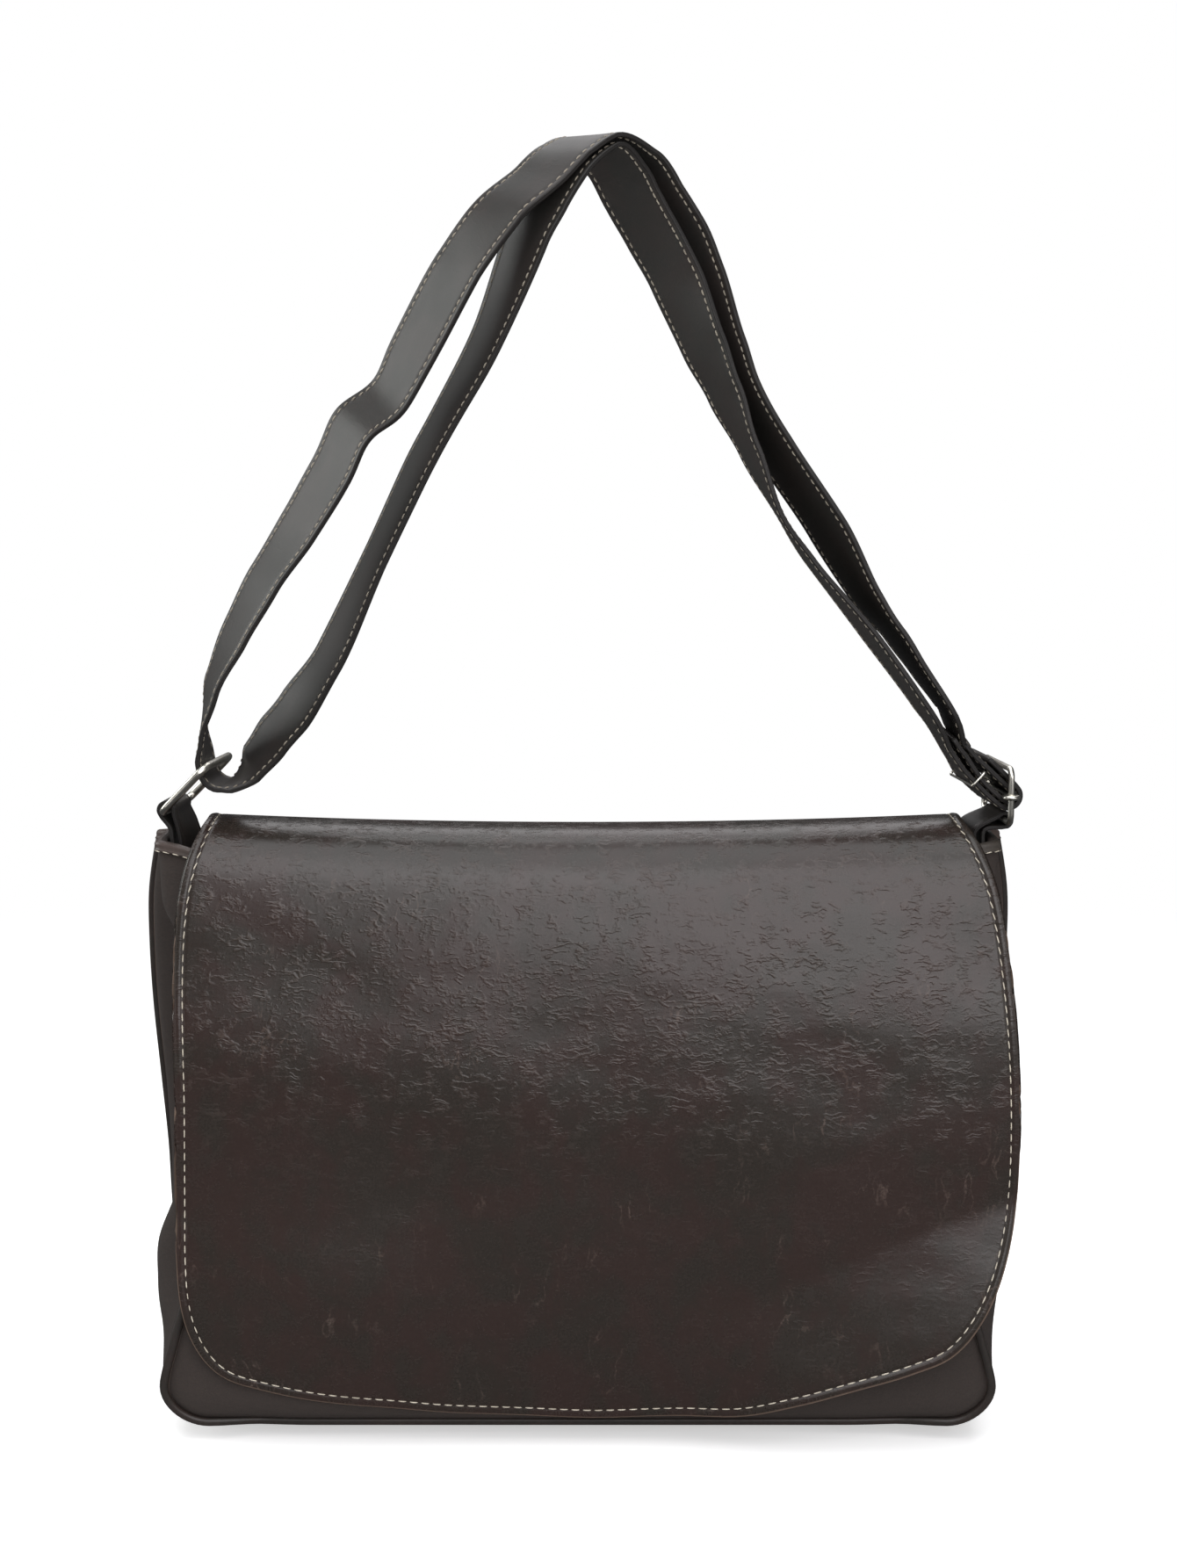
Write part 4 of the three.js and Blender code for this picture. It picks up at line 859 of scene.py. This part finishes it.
def strap_profile(width, wall, inset, groove):
    """Section of a sewn strap: two faces pressed in a little at the stitch lines, round edges with a fine
    line where the two layers meet."""
    half = width / 2
    edge = 0.9
    from_edge = (edge, edge + 0.7, inset - 0.9, inset - 0.4, inset, inset + 0.4, inset + 0.9)
    face = np.r_[half - np.array(from_edge), np.linspace(half - inset - 2.5, 0, 5)]
    face = np.r_[face, -face[-2::-1]]
    pressed = groove * np.exp(-((half - np.abs(face) - inset) / 0.6) ** 2)
    lift = wall / 2 - pressed - 0.12 * (face / half) ** 2
    angle = np.radians((62, 28, 6, -6, -28, -62))
    notch = np.array((0, 0, 0.28, 0.28, 0, 0))
    turn_w = half - edge + edge * np.cos(angle) - notch
    turn_t = (wall / 2) * np.sin(angle)
    cut = np.r_[0 * face, 0 * angle + 1]
    return np.r_[face, -turn_w, -face, turn_w], np.r_[lift, turn_t, -lift, -turn_t], np.r_[cut, cut]


def ribbon(line, width, wall, inset, groove):
    """Flat strap: its section carried along its middle line."""
    place, along, across, out = line
    w, t, cut = strap_profile(width, wall, inset, groove)
    sections = place[:, None] + across[:, None] * w[:, None] + out[:, None] * t[:, None]
    return carried(sections, vectors(w, run_along(place)[:, None], t), cut)


def strap_stitches(line):
    """Stitch lines along both edges of the strap, on both faces."""
    skip = 3
    places = even_places(line[0], STRAP_PITCH)
    places = places[(places > skip) & (places < len(line[0]) - 1 - skip)]
    centre, along, across, out = (taken(rows, places) for rows in line)
    rows = []
    for face in (1, -1):
        for edge in (1, -1):
            spot = centre + unit(across) * edge * (STRAP_WIDTH / 2 - STRAP_INSET)
            rows.append((spot + unit(out) * face * (STRAP_WALL / 2 - STRAP_STITCH_DEPTH), along, face * out))
    rows = (np.concatenate(group) for group in zip(*rows))
    return stitches(*rows, STRAP_PITCH * THREAD_SHARE, STRAP_THREAD)


def slider_row(along, across, turn=SLIDER_TURN):
    """Row of the strap by the slider: so far along the strands from its bar and so far across them."""
    rise = math.radians(SLIDER_RISE)
    lean = math.radians(SLIDER_TURN)
    reach = -along * math.cos(rise) + across * math.sin(rise)
    height = along * math.sin(rise) + across * math.cos(rise)
    return (SLIDER_X + reach * math.cos(lean), HANG_Y + reach * math.sin(lean), SLIDER_Z + height, turn)


def slider_loop(radius):
    """Rows of the strap round the slider's bar: half a turn."""
    angles = [math.pi * k / LOOP_STEPS for k in range(LOOP_STEPS + 1)]
    return [slider_row(-radius * math.sin(angle), -radius * math.cos(angle)) for angle in angles]


def strap_rows():
    """Rows of the whole strap: its turned back end, round the bar, over the peg, through the ring, back."""
    return [
        *(slider_row(*row) for row in TURNED_BACK_END),
        slider_row(LAYERS_END, -LOOP_INNER - LOOP_SPREAD),
        *slider_loop(LOOP_INNER),
        slider_row(LAYERS_END, LOOP_INNER + LOOP_SPREAD),
        *(slider_row(*row) for row in OUTER_LAYER),
        *STRAP_OUTER, *STRAP_TURN, *STRAP_INNER,
        *(slider_row(*row) for row in INNER_LAYER),
        slider_row(LAYERS_END, -LOOP_OUTER - 2 * LOOP_SPREAD),
        *slider_loop(LOOP_OUTER),
        slider_row(TONGUE_END, LOOP_OUTER + TONGUE_LIFT),
    ]


def strap_kink(place):
    """Small bend in the strap's own plane: a wave that dies out on both sides of one spot."""
    from_spot = place - np.array(KINK_SPOT)
    near = np.exp(-np.sum(from_spot[:, (0, 2)]**2, axis=1) / (2 * KINK_SPREAD**2))
    wave = 1.65 * KINK_SIZE * (from_spot @ np.array((0.6, 0, 0.8))) / KINK_SPREAD * near
    return wave[:, None] * np.array((0.8, 0, -0.6))


def tab_rows(side, bar_x, bar_z, wire, turn):
    """Rows of a tab: up inside the gusset, round its bar and down again."""
    outer_strand = WALL / 2 + BINDING_SLACK + BINDING_WALL + 2 * CLEARANCE + TAB_WALL / 2
    inner_strand = outer_strand + TAB_WALL + CLEARANCE
    radius = wire + 2 * CLEARANCE + TAB_WALL / 2
    top = float(gusset_top(GUSSET_MIDDLE))

    def wall_x(height):
        """Middle of the gusset's wall at a height."""
        return float(side_point(1, min(height, top), GUSSET_MIDDLE, False)[0])

    heights = [TAB_LOW, TAB_LOW + TAB_RISE, TAB_LOW + 2 * TAB_RISE]
    inner = zip([*heights, TAB_NECK], TAB_SPREAD, TAB_EXTRA_TURN)
    neck_x = wall_x(TAB_NECK) - outer_strand
    lean = math.atan2(bar_z - TAB_NECK, bar_x - neck_x)
    spin = math.radians(turn)
    rows = [(wall_x(height) - inner_strand - off, 0, height, turn * more) for height, off, more in inner]
    for k in range(TAB_LOOP_STEPS + 1):
        angle = lean + math.radians(TAB_LOOP_START - k * TAB_LOOP_SWEEP / TAB_LOOP_STEPS)
        reach = radius * math.cos(angle)
        rows.append((bar_x + reach * math.cos(spin), side * reach * math.sin(spin),
                     bar_z + radius * math.sin(angle), turn))
    rows.append((neck_x, 0, TAB_NECK, turn * TAB_NECK_TURN))
    rows.extend((wall_x(height) - outer_strand, 0, height, 0) for height in reversed(heights))
    return [(side * x, HANG_Y + y, z, turning) for x, y, z, turning in rows]


def rivet():
    """Rivet: a domed head, a thin shank and the same head again, turned about a tilted axis."""
    one = turned(RIVET["turn"])
    spin = math.radians(RIVET["turn"])
    tilt = math.radians(90 - RIVET["tilt"])
    axis = np.array((math.cos(spin) * math.sin(tilt), math.sin(spin) * math.sin(tilt), math.cos(tilt)))
    centre = np.array(slider_row(RIVET["along"], RIVET["across"])[:3]) - one * RIVET["forward"]
    dome = np.linspace(0, np.pi / 2, 9)
    reach = np.r_[RIVET["head"] * np.sin(dome) + 1e-3, RIVET["shank"]]
    rise = np.r_[RIVET["rise"] * np.cos(dome) ** 0.7, 0] + RIVET["grip"] / 2
    reach = np.r_[reach, reach[::-1]][:, None, None]
    rise = np.r_[rise, -rise[::-1]][:, None, None]
    angle = 2 * np.pi * np.arange(TURNED_SIDES)[:, None] / TURNED_SIDES
    ring = np.cos(angle) * one + np.sin(angle) * np.cross(axis, one)
    sections = centre + rise * axis + reach * ring
    return carried(sections, sections - centre)


class Value:
    """What varies over a surface; arithmetic on a number adds Math nodes to its finish."""

    def __init__(self, finish, socket):
        self.finish = finish
        self.socket = socket

    def maths(self, operation, first, second):
        """A Math node on two values, one of which may be a plain number."""
        return self.finish.node("Math", {"operation": operation}, {0: first, 1: second})

    def __add__(self, other):
        return self.maths("ADD", self, other)

    def __sub__(self, other):
        return self.maths("SUBTRACT", self, other)

    def __rsub__(self, other):
        return self.maths("SUBTRACT", other, self)

    def __mul__(self, other):
        return self.maths("MULTIPLY", self, other)

    __radd__ = __add__
    __rmul__ = __mul__


class Finish:
    """One procedural material: a shader with its fixed values, and one method that makes any node."""

    def __init__(self, name, fixed):
        self.material = bpy.data.materials.new(name)
        self.material.use_nodes = True
        self.tree = self.material.node_tree
        self.shader = self.tree.nodes["Principled BSDF"]
        for socket, value in fixed.items():
            self.feed(socket, value)

    def node(self, kind, settings, inputs, output=0):
        """One output of a new node: its settings first, then the values or links of its sockets."""
        made = self.tree.nodes.new("ShaderNode" + kind)
        for key, value in settings.items():
            setattr(made, key, value)
        for key, value in inputs.items():
            self.fill(made.inputs[key], value)
        return Value(self, made.outputs[output])

    def fill(self, socket, value):
        """A socket's value, or what it is linked to."""
        if isinstance(value, Value):
            self.tree.links.new(value.socket, socket)
        else:
            socket.default_value = value

    def feed(self, socket, value):
        """A value of the shader."""
        self.fill(self.shader.inputs[socket], value)

    def flat(self):
        """Place on the flat leather, in millimetres."""
        return self.node("Attribute", {"attribute_name": "flat"}, {}, "Vector")

    def cut(self):
        """Share of cut edge."""
        return self.node("Attribute", {"attribute_name": "cut"}, {}, "Fac")

    def place(self):
        """Place in the object, in metres."""
        return self.node("TexCoord", {}, {}, "Object")

    def scaled(self, vector, scale):
        """A place stretched differently each way."""
        return self.node("Mapping", {"vector_type": "POINT"}, {"Vector": vector, "Scale": scale})

    def noise(self, vector, scale, detail=2, rough=0.5, bend=0, output=0):
        """Soft cloudy number from 0 to 1."""
        return self.node("TexNoise", {}, {
            "Vector": vector, "Scale": scale, "Detail": detail, "Roughness": rough,
            "Distortion": bend}, output)

    def cells(self, vector, scale):
        """Distance to the nearest border of a net of cells, the place first stretched each way."""
        inputs = {"Vector": self.scaled(vector, scale), "Scale": 1}
        return self.node("TexVoronoi", {"feature": "DISTANCE_TO_EDGE"}, inputs, "Distance")

    def warped(self, vector, scale, amount):
        """A place pushed about by soft noise."""
        push = self.noise(vector, scale, 3, output="Color")
        push = self.node("VectorMath", {"operation": "SUBTRACT"}, {0: push, 1: (0.5, 0.5, 0.5)})
        push = self.node("VectorMath", {"operation": "SCALE"}, {0: push, "Scale": amount})
        return self.node("VectorMath", {"operation": "ADD"}, {0: vector, 1: push})

    def step(self, value, low, high):
        """Smooth step of a number from 0 at the low place to 1 at the high one."""
        inputs = {0: value, 1: low, 2: high, 3: 0, 4: 1}
        return self.node("MapRange", {"interpolation_type": "SMOOTHSTEP"}, inputs)

    def mix(self, share, first, second):
        """Colour a share of the way from one to another."""
        return self.node("Mix", {"data_type": "RGBA"}, {0: share, 6: first, 7: second}, 2)

    def bump(self, height, strength, distance):
        """Fine relief of the surface."""
        inputs = {"Height": height, "Strength": strength, "Distance": distance}
        self.feed("Normal", self.node("Bump", {}, inputs))


def tone(red, green, blue):
    """Colour from the eight bit numbers of a picture, as light."""
    values = np.array((red, green, blue)) / 255
    light = np.where(values <= 0.04045, values / 12.92, ((values + 0.055) / 1.055) ** 2.4)
    return (*light.tolist(), 1)


def leather(name, browns, crease, fade_start, fade_end, scuff, lined, rim, gloss):
    """Waxed leather: two dark browns in broad soft patches, pale thin scuffs, fine crinkles that lie across
    and fade out downward with their raised lines paler, partly as wear and partly as a painted highlight,
    grain, and a raw or painted rim."""
    finish = Finish(name, {"Specular IOR Level": 0.5, "IOR": 1.5})
    flat = finish.flat()
    down = finish.node("SeparateXYZ", {}, {0: flat}, 1)
    broad = finish.noise(flat, 0.019, 3, 0.55, 0.5)
    blotch = finish.noise(finish.scaled(flat, (1, 0.7, 1)), 0.07, 4, 0.6)
    fine = finish.noise(flat, 0.8, 3, 0.6)
    patch = finish.step(broad * 0.6 + blotch * 0.4, 0.42, 0.58)
    colour = finish.mix(patch, *browns)
    colour = finish.mix(finish.step(fine, 0.4, 0.9) * 0.3, colour, tone(66, 55, 50))
    streak = finish.warped(flat, 0.05, 14)
    vein = finish.noise(finish.scaled(streak, (0.11, 0.03, 0.05)), 1, 2, 0.5)
    near = 1 - finish.step((vein - 0.5) * (vein - 0.5), 0, 0.00022)
    worn = finish.step(finish.noise(flat, 0.03, 3), 0.52, 0.7)
    scuffed = near * worn * finish.step(fine, 0.3, 0.65) * scuff
    colour = finish.mix(scuffed, colour, tone(106, 90, 82))
    pushed = finish.warped(flat, 0.14, 6)
    wide = finish.cells(pushed, (0.08, 0.34, 0.3))
    close = finish.cells(finish.warped(flat, 0.45, 2.6), (0.2, 0.66, 0.5))
    broken = finish.step(finish.noise(flat, 0.13, 3, 0.6), 0.47, 0.62)
    other = finish.step(finish.noise(finish.scaled(flat, (1, 1, 7)), 0.17, 3, 0.6), 0.51, 0.66)
    lines = (1 - finish.step(wide, 0, 0.17)) * broken
    small = (1 - finish.step(close, 0, 0.26)) * other
    upper = 1 - finish.step(down, fade_start, fade_end) * 0.8
    some = finish.step(finish.noise(flat, 0.022, 3, 0.6), 0.36, 0.6)
    creased = (lines * 0.8 + small * 0.45) * (some * 0.45 + 0.5) * upper * crease
    # Crease lines paler: partly pale wear in the creases, partly a painted highlight on their raised ridges,
    # strongest near the top where the creases are strongest
    colour = finish.mix(creased * 0.16, colour, tone(104, 88, 80))
    crumple = finish.noise(finish.scaled(pushed, (0.14, 0.4, 0.4)), 1, 3, 0.55)
    grain = finish.noise(flat, 2.4, 2, 0.6)
    finish.bump(creased + crumple * (crease * 0.25) + grain * 0.06 + fine * 0.05, 0.55, 0.00036)
    dull = gloss + blotch * 0.10 + creased * 0.10 + fine * 0.05
    if lined:
        under = 1 - finish.step(finish.node("SeparateXYZ", {}, {0: flat}, 2), -0.7, -0.2)
        nap = finish.noise(flat, 1.4, 3, 0.7)
        colour = finish.mix(under, colour, finish.mix(nap, tone(34, 29, 27), tone(58, 48, 43)))
        dull = dull + under * 0.4
    edge = finish.cut()
    fray = finish.noise(flat, 0.7, 4, 0.7)
    finish.feed("Base Color", finish.mix(edge * (0.55 + fray * 0.5), colour, rim))
    finish.feed("Roughness", dull + edge * 0.15)
    return finish


def thread(name, colour, dark):
    """Waxed thread: two plies that wind round each other, darker in the grooves between them as painted
    shade, and soiled in places.
    """
    finish = Finish(name, {"Specular IOR Level": 0.35})
    flat = finish.flat()
    inputs = {"Vector": flat, "Scale": 0.75, "Distortion": 0.6}
    twist = finish.node("TexWave", {"bands_direction": "DIAGONAL"}, inputs, "Fac")
    soil = finish.noise(flat, 0.08, 3)
    # Darker where soiled, and in the grooves between the plies as painted shade
    soil_and_painted_groove_shade = finish.step(soil, 0.35, 0.75) * 0.6 + (1 - twist) * 0.3
    finish.feed("Base Color", finish.mix(soil_and_painted_groove_shade, colour, dark))
    finish.feed("Roughness", 0.55 + soil * 0.25)
    finish.bump(twist, 0.5, 0.0002)
    return finish


def metal(name, bright, dull_tone, rough):
    """Plated wire: bright, with faint drawn lines and duller patches."""
    finish = Finish(name, {"Metallic": 1})
    place = finish.place()
    cloud = finish.noise(place, 220, 3)
    lines = finish.noise(finish.scaled(place, (900, 900, 160)), 1, 3, 0.7)
    finish.feed("Base Color", finish.mix(finish.step(cloud, 0.4, 0.75), bright, dull_tone))
    finish.feed("Roughness", rough + cloud * 0.1 + lines * 0.1)
    finish.bump(lines, 0.08, 0.0001)
    return finish


# Finishes
FLAP_BROWNS = (tone(46, 35, 32), tone(41, 36, 32))
PIPING_BROWNS = (tone(46, 38, 35), tone(41, 37, 34))
# The body's browns are a lighter copy of the flap's leather: painted light that brightens the front panel
# below the flap, shared by the sides, back and binding
BODY_BROWNS_PAINTED_LIGHTER = (tone(70, 58, 54), tone(62, 57, 52))
STRAP_BROWNS = (tone(44, 40, 38), tone(41, 40, 38))
# Fade that starts beyond the piece's length, so its creases run all the way
NO_FADE = (9000, 9900)
flap_leather = leather("flap_leather", FLAP_BROWNS, 1, 110, 190, 0.35, True, tone(112, 92, 78), 0.19)
# Body leather: its lighter browns stand in for light on the panel below the flap (painted light)
body_leather_painted_lighter = leather("body_leather_painted_lighter", BODY_BROWNS_PAINTED_LIGHTER, 0.35, 900, 1000, 0.3, True, tone(70, 57, 50), 0.36)
strap_leather = leather("strap_leather", STRAP_BROWNS, 0.12, *NO_FADE, 0.15, False, tone(18, 15, 14), 0.36)
piping_leather = leather("piping_leather", PIPING_BROWNS, 0.15, *NO_FADE, 0.1, False, tone(52, 44, 40), 0.34)
cream_thread = thread("cream_thread", tone(212, 204, 188), tone(152, 142, 126))
# The strap's thread is a darker copy of the cream thread: partly the thread's own cream-grey, partly painted
# shade for the strap's shaded faces
grey_thread_with_painted_shade = thread("grey_thread_with_painted_shade", tone(158, 150, 136), tone(104, 97, 87))
silver = metal("silver_wire", (0.88, 0.855, 0.78, 1), (0.7, 0.66, 0.58, 1), 0.2)
dark_metal = metal("dark_rivet", (0.16, 0.15, 0.145, 1), (0.09, 0.085, 0.08, 1), 0.3)

# Bag with its stitches
binding_form, binding_rows = binding()
binding_spots = even_places(binding_rows[0], FLAP_PITCH)[1:-1]
binding_rows = (taken(rows, binding_spots) for rows in binding_rows)
binding_sewn = stitches(*binding_rows, FLAP_PITCH * THREAD_SHARE, FINE_THREAD)
for name, form, finish, slot, replaced in (
        ("back_wall", panel("back", back_top), body_leather_painted_lighter, "leather", ["back_panel"]),
        ("front_wall", panel("front", front_top), body_leather_painted_lighter, "leather", ["front_panel"]),
        ("side_and_base", gusset(), body_leather_painted_lighter, "leather", ["gusset"]),
        ("front_cord", seam_cord("front", FRONT_PIPING_TOP), piping_leather, "piping", ["front_piping"]),
        ("back_cord", seam_cord("back", BACK_PIPING_TOP), piping_leather, "piping", ["back_piping"]),
        ("mouth_binding", binding_form, body_leather_painted_lighter, "leather", ["top_binding"]),
        ("binding_stitches", binding_sewn, cream_thread, None, ()),
        ("front_flap", flap(), flap_leather, "leather", ["flap"]),
        ("flap_stitches", flap_stitches(), cream_thread, None, ())):
    add_piece(name, form, finish, replaced, BAG_PLACE)

# Strap and tabs
strap_line = ribbon_frame(strap_rows(), STRAP_STEP)
strap_line[0] = strap_line[0] + strap_kink(strap_line[0])
strap_form = ribbon(strap_line, STRAP_WIDTH, STRAP_WALL, STRAP_INSET, STRAP_GROOVE)
add_piece("shoulder_strap", strap_form, strap_leather, ["strap"])
add_piece("strap_stitches", strap_stitches(strap_line), grey_thread_with_painted_shade)
for name, node, side, bar_x, bar_z, wire, turn in (
        ("left_tab", "tab_left", -1, *RING_TAB_BAR, RING_WIRE, RING_TURN),
        ("right_tab", "tab_right", 1, SLIDER_X, SLIDER_Z - SLIDER_BELOW, SLIDER_WIRE, SLIDER_TURN)):
    in_bag_x = side * (bar_x - BAG_PLACE[0])
    tab_line = ribbon_frame(tab_rows(side, in_bag_x, bar_z - BAG_PLACE[2], wire, turn), TAB_STEP)
    tab_form = ribbon(tab_line, TAB_WIDTH, TAB_WALL, TAB_INSET, TAB_GROOVE)
    add_piece(name, tab_form, strap_leather, [node], BAG_PLACE)

# Ring, slider, keeper and rivet
VERTICAL = np.array((0, 0, 1))
tab_bar, strap_bar = (np.array((x, HANG_Y, z)) for x, z in (RING_TAB_BAR, RING_STRAP_BAR))
ring_across = turned(RING_TURN)
ring_slope = square_to(unit(strap_bar - tab_bar), ring_across)
ring_form = wire_loop((tab_bar + strap_bar) / 2, ring_across, ring_slope, RING_INNER / 2 + RING_WIRE,
                      np.linalg.norm(strap_bar - tab_bar) / 2, RING_CORNER, RING_WIRE)
slider_across = turned(SLIDER_TURN)
slider_centre = np.array((SLIDER_X, HANG_Y, SLIDER_Z))
frame_half = SLIDER_INNER / 2 + SLIDER_WIRE
frame_form = wire_loop(slider_centre + VERTICAL * (SLIDER_ABOVE - SLIDER_BELOW) / 2, slider_across, VERTICAL,
                       frame_half, (SLIDER_ABOVE + SLIDER_BELOW) / 2, SLIDER_CORNER, SLIDER_WIRE)
eye_radius = SLIDER_WIRE + CLEARANCE + EYE_WIRE
eye_turn = np.linspace(0, 2 * np.pi, TURNED_SIDES, endpoint=False)[:, None]
eye_facing = np.cross(slider_across, VERTICAL)
eye_ring = slider_centre + eye_radius * (np.cos(eye_turn) * slider_across + np.sin(eye_turn) * eye_facing)
bar_path = slider_centre + np.linspace(-1, 1, 24)[:, None] * (frame_half - eye_radius) * slider_across
bar_parts = [round_bar(bar_path, SLIDER_BAR, WIRE_SIDES, VERTICAL)]
for end in (-1, 1):
    eye_path = eye_ring + end * frame_half * slider_across
    bar_parts.append(round_bar(eye_path, EYE_WIRE, WIRE_SIDES, VERTICAL, True))
keeper_centre = np.array(slider_row(KEEPER["along"], KEEPER["across"])[:3])
keeper_side = np.array(slider_row(0, 1)[:3]) - slider_centre
keeper_form = wire_loop(keeper_centre, slider_across, keeper_side, KEEPER["wide"], KEEPER["high"],
                        KEEPER["corner"], KEEPER["wire"], KEEPER_SIDES)
add_piece("left_ring", ring_form, silver, ["ring_left"])
add_piece("right_frame", frame_form, silver, ["slider_frame"])
add_piece("right_bar", joined(bar_parts), silver, ["slider_bar"])
add_piece("wire_keeper", keeper_form, silver, ["keeper"])
add_piece("strap_rivet", rivet(), dark_metal, ["rivet"])

# Floor, light and camera
CAMERA_PLACE = np.array((-2.33, -1287.35, -101.69)) * MM
CAMERA_DOWN = 8
CAMERA_LENS = 65.55
FLOOR_Z = -0.578
FLOOR_HALF = 12
WHITE = (1, 1, 1, 1)


def studio_floor():
    """Plain pale floor just under the base, whose far parts glow evenly so no edge of it shows."""
    finish = Finish("pale_floor", {"Roughness": 0.9, "Specular IOR Level": 0, "Emission Strength": 1})
    place = finish.place()
    reach = finish.node("VectorMath", {"operation": "LENGTH"}, {0: place}, "Value")
    far = finish.step(reach, 0.58, 1.5)
    near = finish.mix(finish.noise(place, 3, 2), (0.93, 0.93, 0.93, 1), (0.95, 0.95, 0.95, 1))
    finish.feed("Base Color", finish.mix(far, near, (0, 0, 0, 1)))
    finish.feed("Emission Color", finish.mix(far, (0.5, 0.5, 0.5, 1), WHITE))
    mesh = bpy.data.meshes.new("floor")
    corners = ((-1, -1), (1, -1), (1, 1), (-1, 1))
    mesh.from_pydata([(x * FLOOR_HALF, y * FLOOR_HALF, FLOOR_Z) for x, y in corners], [], [(0, 1, 2, 3)])
    mesh.materials.append(finish.material)
    floor = bpy.data.objects.new("floor", mesh)
    bpy.context.scene.collection.objects.link(floor)
    floor.visible_glossy = False
    floor.visible_diffuse = True


def soft_light(name, place, aim, wide, high, power, colour, roll=0):
    """Rectangular soft light that faces a point, turned about its own beam by the roll in degrees."""
    data = bpy.data.lights.new(name, "AREA")
    data.shape = "RECTANGLE"
    data.size = wide
    data.size_y = high
    data.energy = power
    data.color = colour
    light = bpy.data.objects.new(name, data)
    light.location = place
    toward = unit(np.array(aim) - np.array(place))
    yaw = math.atan2(-toward[0], toward[1])
    tilt = math.acos(max(-1, min(1, -toward[2])))
    turning = mathutils.Euler((tilt, 0, yaw)).to_matrix()
    spun = mathutils.Euler((0, 0, math.radians(roll))).to_matrix()
    light.rotation_euler = (turning @ spun).to_euler()
    bpy.context.scene.collection.objects.link(light)


def studio_world():
    """White seen by the camera, with a dim room round the object for its light and reflections."""
    world = bpy.data.worlds.new("studio")
    world.use_nodes = True
    bpy.context.scene.world = world
    tree = world.node_tree
    room = tree.nodes["Background"]
    white = tree.nodes.new("ShaderNodeBackground")
    for background, colour, strength in ((room, (0.95, 0.97, 1, 1), 0.05), (white, WHITE, 1)):
        background.inputs["Color"].default_value = colour
        background.inputs["Strength"].default_value = strength
    path = tree.nodes.new("ShaderNodeLightPath")
    blend = tree.nodes.new("ShaderNodeMixShader")
    for socket, output in enumerate((path.outputs["Is Camera Ray"], room.outputs[0], white.outputs[0])):
        tree.links.new(output, blend.inputs[socket])
    tree.links.new(blend.outputs[0], tree.nodes["World Output"].inputs["Surface"])


studio_floor()
studio_world()
COOL_WHITE = (1, 0.985, 1)
FILL_WHITE = (1, 0.98, 0.96)
soft_light("front_softbox", (0.71, -2.28, 0.93), (0, -0.05, -0.4), 2.2, 2.3, 44, COOL_WHITE, -16)
soft_light("high_left_softbox", (-0.82, -1.6, 1.6), (0, -0.05, -0.4), 1.7, 1.1, 14, COOL_WHITE)
soft_light("top_softbox", (0, -0.06, 1.9), (0, -0.05, -0.3), 2.2, 2.7, 40, (0.97, 0.99, 1))
soft_light("back_softbox", (0, 1.7, 1.25), (0, 0, -0.3), 2.2, 1.1, 13, COOL_WHITE)
soft_light("left_softbox", (-2.1, 0.7, 0.5), (0, 0, -0.15), 1.2, 1.6, 20, (0.98, 1, 0.98))
soft_light("left_fill", (-2.4, -1.7, 0), (0, 0, -0.4), 1.2, 1.2, 4, FILL_WHITE)
soft_light("right_fill", (2.4, -1.7, 0), (0, 0, -0.4), 1.2, 1.2, 4, FILL_WHITE)

scene = bpy.context.scene
scene.view_settings.view_transform = "Standard"
camera_data = bpy.data.cameras.new("camera")
camera_data.lens = CAMERA_LENS
camera_data.sensor_width = 36
camera_data.clip_start = 0.05
camera_data.clip_end = 50
camera = bpy.data.objects.new("camera", camera_data)
camera.location = CAMERA_PLACE
camera.rotation_euler = (math.radians(90 - CAMERA_DOWN), 0, 0)
scene.collection.objects.link(camera)
scene.camera = camera
